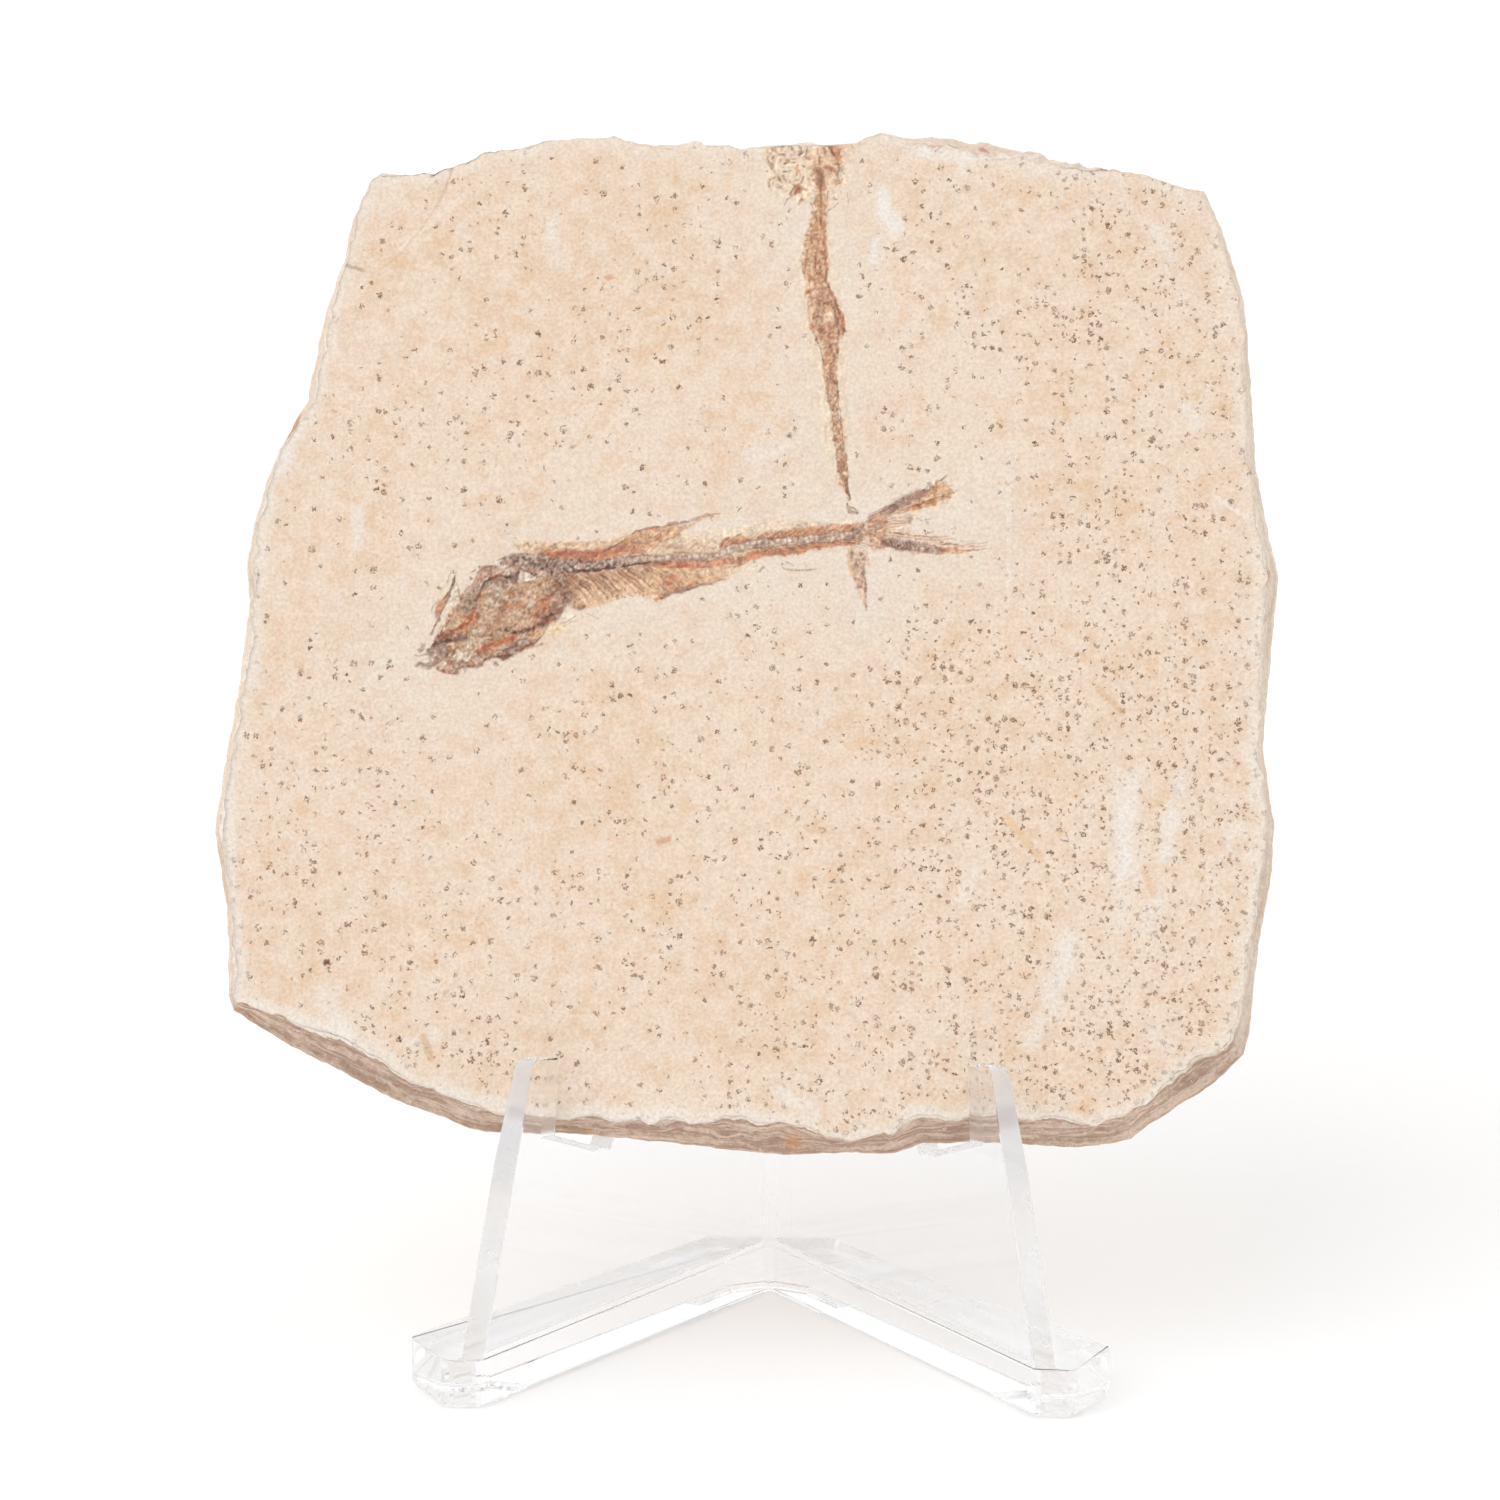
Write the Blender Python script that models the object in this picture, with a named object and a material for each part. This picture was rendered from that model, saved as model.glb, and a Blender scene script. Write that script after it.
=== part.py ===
"""A fossil fish slab resting on a clear plastic easel.

Two separate pieces. The slab is one flat piece of pale limestone with two fossil fish in low
relief on its face. The stand is one clear moulding: two upright wings that meet in a V at the
back, each with a thick bar along its foot. The slab lies back on the wings and only rests there.

Lengths are in millimetres and become metres as the meshes are made. Both pieces are first laid
out round the stand: x to the right, y to the back from the inner corner of the V, z up from the
table. The last step centres them, so the part stands on z = 0 and faces -Y.
"""

import math

import bmesh
import bpy
import numpy as np
from mathutils import Vector
from mathutils.geometry import delaunay_2d_cdt

MM = 0.001

# Stand: the wings, seen from above
WING_ANGLE = math.radians(36.9)     # between a wing and the line straight to the front
SPINE_WIDTH = 1.7                   # flat strip inside the V, where the two wings meet
WING_THICKNESS = 2.68               # measured along x
TIP_THICKNESS = 2.1                 # the wings thin towards the arms' tips and above them
TAPER = (29.0, 40.9)                # heights between which they thin
SPINE_BACK = 3.2                    # from the inner corner of the V back to the flat spine

# Stand: the wings, seen from the side, as distance to the front and height
ARM_FOOT = (42.1, 5.0)
ARM_TOP = (34.4, 40.9)
LIP_TOP = (30.7, 39.7)
LEDGE_FRONT = (31.3, 30.3)
LEDGE_BACK = (23.3, 26.0)
STAND_HEIGHT = 72.0
ARM_TOP_RADIUS = 1.2
STAND_TOP_RADIUS = 3.0

# Stand: the bar along the foot of each wing
FOOT_HEIGHT = 6.0
FOOT_LIFT = 0.5                     # the bars clear the table between their pads
FOOT_STEP = 0.35                    # the bar stands this far proud of the wing's inner face
FOOT_FRONT = 42.5                   # from the inner corner of the V to the bar's front face
FOOT_FRONT_FACE = 4.6               # width of that face, which is square to the front
FOOT_END = (41.7, 34.2)             # outer corner of the bar's slanting end, sideways and forward
FOOT_BACK = (8.8, -4.1)             # corner where the bar's outer side meets the flat back
PAD_INSET = 0.4
FRONT_PAD_LENGTH = 9.0
BACK_PAD_LENGTH = 9.0

# Slab, and how it leans
SLAB_LEAN = math.radians(22.0)
SLAB_THICKNESS = 8.0
SLAB_GAP = 0.4                      # from the slab's back to the wings
SLAB_DROP = 0.6                     # its lowest point hangs this far below the ledges' back corner
SLAB_SHIFT = -3.0                   # its middle is this far to the left of the stand's

# The broken outline, clockwise from the top left corner as seen from the front: across from the
# slab's middle, up from its lowest point, and how far the front edge is broken back there.
OUTLINE = [
    (-45.0, 117.6, 0.8), (-41.5, 117.1, 0.7), (-37.5, 117.4, 0.7), (-36.0, 118.2, 0.7),
    (-31.0, 120.0, 0.7), (-27.0, 121.1, 0.7), (-23.5, 121.7, 0.7), (-17.0, 122.0, 0.8),
    (-12.0, 121.1, 0.7), (-7.5, 121.4, 0.7), (-1.5, 120.9, 0.6), (5.0, 121.5, 0.6),
    (10.5, 121.2, 0.7), (15.0, 123.2, 1.2), (18.5, 122.5, 1.6), (21.5, 123.0, 2.0),
    (27.0, 122.1, 2.2), (34.0, 121.1, 1.8), (36.0, 120.2, 1.2), (41.0, 119.3, 0.9),
    (47.5, 118.2, 0.8), (50.2, 117.2, 0.8), (53.9, 116.5, 0.8), (56.0, 112.2, 0.8),
    (58.8, 103.3, 0.9), (59.6, 95.0, 0.9), (60.5, 82.8, 1.0), (61.9, 75.8, 1.2),
    (63.3, 69.8, 1.8),
    (62.7, 63.7, 1.4), (62.1, 55.2, 0.9), (61.6, 49.2, 0.8), (62.6, 43.2, 1.0),
    (63.1, 39.8, 1.2), (62.9, 34.8, 1.4), (61.7, 27.7, 1.3), (60.8, 20.9, 1.2),
    (60.5, 15.8, 1.5), (59.7, 12.8, 2.0), (56.4, 9.4, 3.0), (52.6, 6.9, 2.8),
    (48.2, 4.0, 2.5), (46.5, 2.6, 2.3), (44.0, 1.9, 2.3), (40.0, 1.5, 2.6),
    (34.0, 1.7, 3.0), (28.0, 1.9, 2.6), (21.5, 1.6, 2.4), (18.5, 0.4, 2.2),
    (12.5, 0.4, 1.2), (5.3, 0.0, 3.6), (-1.7, 0.6, 2.9), (-7.0, 1.2, 2.8),
    (-15.0, 1.8, 1.7), (-21.0, 2.2, 1.6), (-28.5, 2.1, 1.8), (-31.5, 2.4, 2.4),
    (-35.2, 3.9, 2.6), (-39.5, 5.3, 2.6), (-43.0, 6.9, 3.2), (-49.0, 9.9, 3.2),
    (-53.5, 12.0, 2.9), (-57.0, 14.1, 2.0), (-60.3, 16.1, 1.2), (-61.0, 18.0, 1.0),
    (-61.1, 24.0, 0.9), (-61.7, 29.5, 0.9), (-63.2, 37.8, 1.1), (-62.2, 45.1, 1.0),
    (-60.6, 56.0, 1.0), (-59.7, 65.1, 1.0), (-60.2, 69.3, 1.2), (-59.5, 74.2, 1.0),
    (-58.2, 79.2, 1.0), (-56.6, 83.5, 1.0), (-53.5, 89.4, 1.3), (-52.5, 94.4, 1.1),
    (-51.4, 100.5, 1.0), (-49.3, 106.8, 0.9), (-48.5, 111.3, 0.8), (-46.6, 116.2, 0.8),
]
EDGE_STEP = 3.0                     # longest straight run left along the outline
EDGE_CHIPS = 0.15                   # how far the small chips along it wave in and out

# The edge from front to back: depth below the face, share of the front bevel that is left there,
# inset of its own, and how strongly the bedding layers step in and out.
EDGE_RINGS = [
    (0.0, 1.0, 0.0, 0.0),
    (0.4, 0.8, 0.0, 0.1),
    (1.6, 0.62, 0.0, 0.2),
    (2.0, 0.32, 0.0, 0.25),
    (3.6, 0.30, 0.1, 0.25),
    (4.0, 0.05, -0.1, 0.1),
    (5.6, 0.0, -0.1, 0.0),
    (6.2, 0.0, 0.0, 0.1),
    (6.6, 0.0, 0.5, 0.3),
    (8.0, 0.0, 1.2, 0.3),
]

# A thin flake has split off outside this line, at the top left corner
FLAKE_LINE = [(-35.8, 118.3), (-37.6, 114.0), (-40.1, 109.8), (-43.3, 106.3), (-48.6, 105.2)]
FLAKE_DEPTH = 0.45
FLAKE_STEP = 0.9

# The fish that lies across the slab, head to the left
FISH_BACK = [(-23.5, 71.8), (-17.9, 72.1), (-15.4, 72.8), (-12.8, 73.6), (-8.9, 73.4),
             (-3.1, 73.2), (1.8, 74.3), (8.7, 74.7), (14.2, 75.2)]
FISH_SPINE = [(-23.5, 68.8), (-19.2, 69.2), (-15.4, 70.1), (-11.5, 70.9), (-7.5, 71.0),
              (-3.6, 71.3), (1.8, 72.6), (6.0, 73.0), (10.0, 73.4), (14.2, 74.6)]
FISH_BELLY = [(-23.5, 64.8), (-17.8, 64.9), (-14.0, 65.9), (-10.1, 65.9), (-7.5, 66.9),
              (-2.4, 68.3), (1.0, 70.2), (7.1, 71.5), (14.2, 73.2)]
FISH_HEAD = [(-39.1, 58.5), (-38.9, 57.2), (-34.6, 56.1), (-30.0, 58.0), (-26.9, 58.8),
             (-24.2, 60.4), (-22.0, 64.5), (-22.6, 68.7), (-24.6, 71.6), (-29.3, 70.1),
             (-32.4, 68.8), (-34.7, 67.4), (-37.2, 64.3), (-37.5, 60.7)]
FISH_HEAD_MIDDLE = (-29.8, 63.6)
FISH_EYE = (-29.7, 66.2)
FISH_EYE_RADIUS = 1.4
HEAD_RINGS = [(1.0, 0.0), (0.86, 0.7), (0.6, 1.0), (0.3, 1.0)]      # share of its size, of its height
UPPER_TAIL = [(14.2, 74.7), (17.0, 76.2), (20.5, 78.0), (24.4, 79.8)]
LOWER_TAIL = [(14.2, 74.3), (17.5, 73.3), (22.3, 72.6), (28.6, 72.2)]
TAIL_HALF_WIDTH = [0.3, 1.0, 1.3, 0.5]
BACK_FIN = [(-10.2, 73.6), (-6.5, 74.8), (-3.3, 75.8)]
BACK_FIN_HALF_WIDTH = [0.9, 0.7, 0.2]

# The thin fish that hangs from the top edge and crosses behind the other's tail
SECOND_FISH = [(8.2, 117.5), (8.1, 111.3), (7.4, 107.2), (8.0, 103.5), (8.7, 100.8), (9.2, 98.0),
               (9.4, 94.0), (9.8, 91.2), (10.5, 87.0), (11.0, 82.5), (11.8, 77.5)]
SECOND_HALF_WIDTH = [1.3, 0.4, 1.5, 1.5, 2.0, 1.9, 0.9, 0.6, 0.7, 0.6, 0.3]
SECOND_TAIL = [(12.8, 71.8), (13.4, 68.8), (13.9, 66.0), (14.2, 64.8)]
SECOND_TAIL_HALF_WIDTH = [0.6, 0.6, 0.4, 0.2]

# How far the fossils stand out of the face
SPINE_RELIEF = 0.5
FLESH_RELIEF = 0.22
HEAD_RELIEF = 0.45
FIN_RELIEF = 0.25
BONE_PITCH = 1.25                   # one row of points at each of the spine's bones
BONE_HALF_WIDTH = 0.55

# Spacing of the points on the plain faces
FACE_STEP = 7.0
BACK_STEP = 8.0
POINT_GAP = 0.42                    # fossil points closer than this are left out
PLAIN_GAP = 2.4                     # plain points keep this far from fossils and edges
SEED = 11

LIMESTONE = (0.87, 0.77, 0.63)
CLEAR_PLASTIC = (0.93, 0.95, 0.96)
PLASTIC_IOR = 1.49


def clear_scene():
    """Remove every object that the file opened with."""
    for item in list(bpy.data.objects):
        bpy.data.objects.remove(item, do_unlink=True)


def make_material(name, colour, roughness, transmission=0.0):
    """A Principled material with one colour."""
    material = bpy.data.materials.new(name)
    material.use_nodes = True
    shader = material.node_tree.nodes["Principled BSDF"]
    shader.inputs["Base Color"].default_value = (*colour, 1.0)
    shader.inputs["Roughness"].default_value = roughness
    shader.inputs["Metallic"].default_value = 0.0
    shader.inputs["Transmission Weight"].default_value = transmission
    shader.inputs["IOR"].default_value = PLASTIC_IOR
    return material


def make_object(name, points, faces, material=None):
    """A closed mesh object from points in millimetres, with its faces turned outwards."""
    mesh = bpy.data.meshes.new(name)
    mesh.from_pydata([Vector(point) * MM for point in points], [], faces)
    shape = bmesh.new()
    shape.from_mesh(mesh)
    bmesh.ops.recalc_face_normals(shape, faces=shape.faces)
    shape.to_mesh(mesh)
    shape.free()
    made = bpy.data.objects.new(name, mesh)
    bpy.context.collection.objects.link(made)
    if material:
        mesh.materials.append(material)
    return made


# ---- outlines ---------------------------------------------------------------------------------


def split_outline(corners, step):
    """Walk round a closed outline and cut each side into equal runs no longer than step."""
    walked = []
    for here, after in zip(corners, corners[1:] + corners[:1]):
        here = np.array(here)
        after = np.array(after)
        runs = max(1, math.ceil(np.linalg.norm((after - here)[:2]) / step))
        for run in range(runs):
            walked.append(here + (after - here) * run / runs)
    return np.array(walked)


def inward_normals(outline):
    """Unit vectors that point into a clockwise outline, one for each of its points."""
    along = np.roll(outline, -1, axis=0) - np.roll(outline, 1, axis=0)
    normals = np.stack([along[:, 1], -along[:, 0]], axis=1)
    return normals / np.linalg.norm(normals, axis=1, keepdims=True)


def bedding_steps(places, phase):
    """How one bedding layer steps in and out along the edge: a few slow waves, from -1 to 1."""
    steps = np.sin(0.11 * places + 1.7 * phase) + 0.6 * np.sin(0.37 * places + 2.9 * phase)
    return steps / 1.6


def rounded(corners, radii):
    """A polygon with its corners rounded: each radius above zero becomes an arc of seven points."""
    shaped = []
    count = len(corners)
    for index, radius in enumerate(radii):
        corner = Vector(corners[index])
        if radius <= 0.0:
            shaped.append(tuple(corner))
            continue
        before = (Vector(corners[index - 1]) - corner).normalized()
        after = (Vector(corners[(index + 1) % count]) - corner).normalized()
        half_angle = before.angle(after) / 2.0
        reach = radius / math.tan(half_angle)
        middle = corner + (before + after).normalized() * radius / math.sin(half_angle)
        start = corner + before * reach - middle
        sweep = start.angle_signed(corner + after * reach - middle)
        for turn in range(7):
            angle = -sweep * turn / 6.0
            shaped.append((
                middle.x + start.x * math.cos(angle) - start.y * math.sin(angle),
                middle.y + start.x * math.sin(angle) + start.y * math.cos(angle),
            ))
    return shaped


def inside(outline, places):
    """Which places lie inside a closed outline, by counting the sides a ray crosses."""
    after = np.roll(outline, -1, axis=0)
    x = places[:, 0][:, None]
    y = places[:, 1][:, None]
    spans = (outline[:, 1] > y) != (after[:, 1] > y)
    rise = np.where(after[:, 1] == outline[:, 1], 1.0, after[:, 1] - outline[:, 1])
    crossing = outline[:, 0] + (y - outline[:, 1]) * (after[:, 0] - outline[:, 0]) / rise
    return (spans & (x < crossing)).sum(axis=1) % 2 == 1


def distance_to(outline, places):
    """Distance from each place to the nearest side of a closed outline."""
    side = np.roll(outline, -1, axis=0) - outline
    offset = places[:, None, :] - outline[None, :, :]
    share = np.clip((offset * side).sum(axis=2) / (side ** 2).sum(axis=1), 0.0, 1.0)
    return np.linalg.norm(offset - share[:, :, None] * side, axis=2).min(axis=1)


# ---- the fossils, as points with a height above the face ----------------------------------------


def body_points():
    """The lying fish from gill to tail: a ridge of bones, with the flesh sloping off each side."""
    points = []
    stations = np.arange(FISH_SPINE[0][0] + BONE_PITCH, FISH_SPINE[-1][0], BONE_PITCH)
    for x in stations:
        back = np.interp(x, *zip(*FISH_BACK))
        spine = np.interp(x, *zip(*FISH_SPINE))
        belly = np.interp(x, *zip(*FISH_BELLY))
        points.append((x, spine, SPINE_RELIEF))
        points.append((x, spine + BONE_HALF_WIDTH, FLESH_RELIEF))
        points.append((x, spine - BONE_HALF_WIDTH, FLESH_RELIEF))
        points.append((x, back, 0.0))
        points.append((x, belly, 0.0))
        points.append((x, back - 0.35 * (back - spine), FLESH_RELIEF))
        points.append((x, belly + 0.3 * (spine - belly), FLESH_RELIEF))
    return points


def head_points():
    """The head: rings that shrink from its outline to its middle, and a small round eye."""
    points = [(*FISH_EYE, HEAD_RELIEF + 0.2)]
    for turn in range(8):
        angle = math.tau * turn / 8
        points.append((
            FISH_EYE[0] + FISH_EYE_RADIUS * math.cos(angle),
            FISH_EYE[1] + FISH_EYE_RADIUS * math.sin(angle),
            HEAD_RELIEF - 0.1,
        ))
    rim = split_outline(FISH_HEAD, 1.8)
    for share, rise in HEAD_RINGS:
        for place in np.array(FISH_HEAD_MIDDLE) + share * (rim - FISH_HEAD_MIDDLE):
            points.append((*place, rise * HEAD_RELIEF))
    return points


def strip_points(middle, half_width, height, step):
    """A thin raised strip: a crest along its middle line and a foot along each side of it."""
    middle = np.array(middle)
    lengths = np.concatenate([[0.0], np.cumsum(np.linalg.norm(np.diff(middle, axis=0), axis=1))])
    places = np.linspace(0.0, lengths[-1], max(3, round(lengths[-1] / step)))
    crest = np.stack([np.interp(places, lengths, middle[:, axis]) for axis in (0, 1)], axis=1)
    along = np.gradient(crest, axis=0)
    sideways = np.stack([-along[:, 1], along[:, 0]], axis=1)
    sideways /= np.linalg.norm(sideways, axis=1, keepdims=True)
    width = np.interp(places, lengths, half_width)[:, None]
    points = [(*place, height) for place in crest[1:-1]] + [(*crest[0], 0.0), (*crest[-1], 0.0)]
    for side in (1.0, -1.0):
        points += [(*place, 0.6 * height) for place in crest + side * 0.6 * width * sideways]
        points += [(*place, 0.0) for place in crest + side * width * sideways]
    return points


def fossil_points():
    """Every point of the two fossils, without those that crowd one already there."""
    wanted = body_points()
    wanted += head_points()
    wanted += strip_points(UPPER_TAIL, TAIL_HALF_WIDTH, FIN_RELIEF, 1.3)
    wanted += strip_points(LOWER_TAIL, TAIL_HALF_WIDTH, FIN_RELIEF, 1.3)
    wanted += strip_points(BACK_FIN, BACK_FIN_HALF_WIDTH, FIN_RELIEF, 1.3)
    wanted += strip_points(SECOND_FISH, SECOND_HALF_WIDTH, FIN_RELIEF, 1.5)
    wanted += strip_points(SECOND_TAIL, SECOND_TAIL_HALF_WIDTH, FIN_RELIEF, 1.5)
    kept = np.empty((0, 3))
    for point in wanted:
        nearest = np.linalg.norm(kept[:, :2] - point[:2], axis=1).min(initial=math.inf)
        if nearest > POINT_GAP:
            kept = np.vstack([kept, point])
    return kept


def flake_points():
    """Both sides of the little step where the corner flake has split off."""
    return np.array([
        (x + side * FLAKE_STEP / 2, v - side * FLAKE_STEP / 2, 0.0)
        for x, v in FLAKE_LINE[1:-1]
        for side in (1.0, -1.0)
    ])


def face_height(places):
    """Height of the bare face: faint waves of the bedding, and the step down to the flake's bed."""
    x = places[:, 0]
    v = places[:, 1]
    waves = 0.10 * np.sin(0.09 * x + 0.05 * v) + 0.06 * np.sin(0.21 * v - 0.11 * x + 1.0)
    line = np.array(FLAKE_LINE)
    order = np.argsort(line[:, 0])
    line_height = np.interp(x, line[order, 0], line[order, 1], right=200.0)
    past = np.clip((v - line_height) / FLAKE_STEP + 0.5, 0.0, 1.0)
    return waves - FLAKE_DEPTH * past


def back_height(places):
    """Height of the rough back: terraces where bedding layers ended, all sunk below its plane."""
    x = places[:, 0]
    v = places[:, 1]
    swell = np.sin(0.07 * x + 0.9) + np.sin(0.06 * v) + 0.5 * np.sin(0.16 * x - 0.12 * v)
    terraces = 0.35 * np.clip(np.round(swell), -1.0, 1.0)
    return -0.45 - terraces


# ---- the slab -----------------------------------------------------------------------------------


def plain_points(outline, step, keep_off, rng):
    """A loose grid of points inside an outline, clear of its edge and of the points in keep_off."""
    low = outline.min(axis=0)
    high = outline.max(axis=0)
    across, up = np.meshgrid(np.arange(low[0], high[0], step), np.arange(low[1], high[1], step))
    grid = np.stack([across.ravel(), up.ravel()], axis=1)
    grid += rng.uniform(-0.25, 0.25, grid.shape) * step
    grid = grid[inside(outline, grid)]
    grid = grid[distance_to(outline, grid) > PLAIN_GAP]
    if len(keep_off):
        apart = np.linalg.norm(grid[:, None, :] - keep_off[None, :, :], axis=2).min(axis=1)
        grid = grid[apart > PLAIN_GAP]
    return grid


def triangulate(outline, places):
    """Triangles that fill an outline and use every place inside it, as indices into both."""
    flat = [Vector(place) for place in np.vstack([outline, places])]
    loop = list(range(len(outline)))
    return delaunay_2d_cdt(flat, [], [loop], 1, 1e-6)[2]


def slab_axes():
    """The slab's own up direction, the direction its face looks in, and its lowest back corner."""
    up = np.array([0.0, math.sin(SLAB_LEAN), math.cos(SLAB_LEAN)])
    out = np.array([0.0, -math.cos(SLAB_LEAN), math.sin(SLAB_LEAN)])
    corner = np.array([SLAB_SHIFT, -LEDGE_BACK[0], LEDGE_BACK[1]])
    return up, out, corner + SLAB_GAP * out - SLAB_DROP * up


def to_stand(places, heights):
    """Turn slab measures, across, up and out from the back plane, into the stand's directions."""
    up, out, corner = slab_axes()
    across = np.array([1.0, 0.0, 0.0])
    return corner + places[:, :1] * across + places[:, 1:2] * up + heights[:, None] * out


def edge_rings():
    """The rings of the broken edge, front to back, as slab measures."""
    rim = split_outline(OUTLINE, EDGE_STEP)
    outline = rim[:, :2]
    inward = inward_normals(outline)
    places = np.cumsum(np.linalg.norm(np.diff(outline, axis=0, prepend=outline[:1]), axis=1))
    chips = EDGE_CHIPS * np.sin(2.3 * places) * np.sin(0.9 * places + 1.0)
    rings = []
    for index, (depth, share, inset, layers) in enumerate(EDGE_RINGS):
        steps = layers * (1.0 + bedding_steps(places, index))
        moved = share * rim[:, 2] + inset + steps + chips
        rings.append((outline + moved[:, None] * inward, depth))
    return rings


def build_slab(material):
    """The slab: a triangulated face with the fossils, the edge's rings, and a rough back."""
    rng = np.random.default_rng(SEED)
    rings = edge_rings()
    front_rim = rings[0][0]
    back_rim = rings[-1][0]
    fossils = fossil_points()
    flake = flake_points()
    keep_off = np.vstack([fossils, flake])[:, :2]
    plain = plain_points(front_rim, FACE_STEP, keep_off, rng)
    face = np.vstack([fossils, flake, np.column_stack([plain, np.zeros(len(plain))])])
    back = plain_points(back_rim, BACK_STEP, np.empty((0, 2)), rng)

    blocks = []
    for outline, depth in rings:
        heights = np.full(len(outline), SLAB_THICKNESS - depth)
        if depth == 0.0:
            heights += face_height(outline)
        blocks.append(to_stand(outline, heights))
    face_heights = SLAB_THICKNESS + face_height(face[:, :2]) + face[:, 2]
    blocks.append(to_stand(face[:, :2], face_heights))
    blocks.append(to_stand(back, -back_height(back)))

    count = len(front_rim)
    faces = []
    for ring in range(len(rings) - 1):
        for here in range(count):
            after = (here + 1) % count
            low = ring * count
            faces.append((low + here, low + after, low + count + after, low + count + here))
    face_start = len(rings) * count
    for triangle in triangulate(front_rim, face[:, :2]):
        faces.append([i if i < count else i - count + face_start for i in triangle])
    back_start = face_start + len(face)
    last_ring = (len(rings) - 1) * count
    for triangle in triangulate(back_rim, back):
        faces.append([i + last_ring if i < count else i - count + back_start for i in triangle])
    return make_object("slab", np.vstack(blocks), faces, material)


# ---- the stand ----------------------------------------------------------------------------------


def loft(name, rings):
    """A closed solid through a stack of outlines that have the same number of points."""
    count = len(rings[0])
    last = (len(rings) - 1) * count
    faces = [list(range(count)), list(range(last, last + count))]
    for low in range(0, last, count):
        for here in range(count):
            after = (here + 1) % count
            faces.append((low + here, low + after, low + count + after, low + count + here))
    return make_object(name, [point for ring in rings for point in ring], faces)


def prism(name, outline, lay, low, high):
    """A closed prism on an outline. lay turns an outline point and a distance into x, y and z."""
    return loft(name, [[lay(a, b, end) for a, b in outline] for end in (low, high)])


def upright(x, y, z):
    """A plan outline raised straight up."""
    return (x, y, z)


def sideways(forward, height, x):
    """A side view carried straight across."""
    return (x, -forward, height)


def both_sides(half):
    """Join the left half of a plan, front to back, to its mirror image on the right."""
    return half + [(-x, y) for x, y in reversed(half)]


def wing_plan(thickness):
    """The two wings from above, long enough to be cut to shape by the side view."""
    forward = FOOT_FRONT + 2.0
    inner = SPINE_WIDTH / 2
    spread = math.tan(WING_ANGLE)
    return both_sides([
        (-inner, 0.0),
        (-inner - forward * spread, -forward),
        (-inner - forward * spread - thickness, -forward),
        (-inner - thickness + SPINE_BACK * spread, SPINE_BACK),
    ])


def wing_side():
    """The wings from the side: arm, lip, ledge, and the long edge that the slab leans on."""
    rise = STAND_HEIGHT - LEDGE_BACK[1]
    top_front = (LEDGE_BACK[0] - rise * math.tan(SLAB_LEAN), STAND_HEIGHT)
    corners = [
        ARM_FOOT, ARM_TOP, LIP_TOP, LEDGE_FRONT, LEDGE_BACK, top_front,
        (-SPINE_BACK - 2.0, STAND_HEIGHT), (-SPINE_BACK - 2.0, FOOT_LIFT + 1.0),
        (ARM_FOOT[0] - 1.0, FOOT_LIFT + 1.0),
    ]
    radii = [0.0, ARM_TOP_RADIUS, 0.6, 0.4, 0.3, STAND_TOP_RADIUS, 0.0, 0.0, 0.0]
    return rounded(corners, radii)


def foot_plan():
    """The two bars from above, one V with a flat back and slanting ends."""
    inner = SPINE_WIDTH / 2 - FOOT_STEP
    spread = math.tan(WING_ANGLE)
    front = -inner - FOOT_FRONT * spread
    return both_sides([
        (-inner, -FOOT_STEP),
        (front, -FOOT_FRONT),
        (front - FOOT_FRONT_FACE, -FOOT_FRONT),
        (-FOOT_END[0], -FOOT_END[1]),
        (-FOOT_BACK[0], -FOOT_BACK[1]),
    ])


def pad_plans():
    """Three pads under the bars, each a little inside the bars' outline: two front, one back."""
    half = foot_plan()[:5]
    inner, front, front_out, end, back = [Vector(point) for point in half]
    run = (front - inner).normalized()
    outer_run = (end - back).normalized()
    in_from_side = PAD_INSET / math.cos(WING_ANGLE)
    front_pad = [
        front - run * FRONT_PAD_LENGTH - Vector((in_from_side, 0.0)),
        front + Vector((-in_from_side, PAD_INSET)),
        front_out + Vector((PAD_INSET, PAD_INSET)),
        end + Vector((2.0 * PAD_INSET, 0.0)),
        end - outer_run * (FRONT_PAD_LENGTH - 4.0) + Vector((in_from_side, 0.0)),
    ]
    back_half = [
        inner + Vector((0.0, PAD_INSET)),
        inner + run * BACK_PAD_LENGTH - Vector((in_from_side, 0.0)),
        back + outer_run * BACK_PAD_LENGTH + Vector((2.0 * PAD_INSET, 0.0)),
        back + Vector((PAD_INSET, -PAD_INSET)),
    ]
    left = [tuple(point) for point in front_pad]
    right = [(-x, y) for x, y in reversed(left)]
    return {
        "left_pad": left,
        "right_pad": right,
        "back_pad": both_sides([tuple(point) for point in back_half]),
    }


def join(base, tool, operation):
    """Add a Boolean to the base, and keep its tool out of the finished part."""
    step = base.modifiers.new(tool.name, "BOOLEAN")
    step.operation = operation
    step.object = tool
    step.solver = "EXACT"
    tool.hide_render = True
    tool.display_type = "WIRE"


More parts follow.
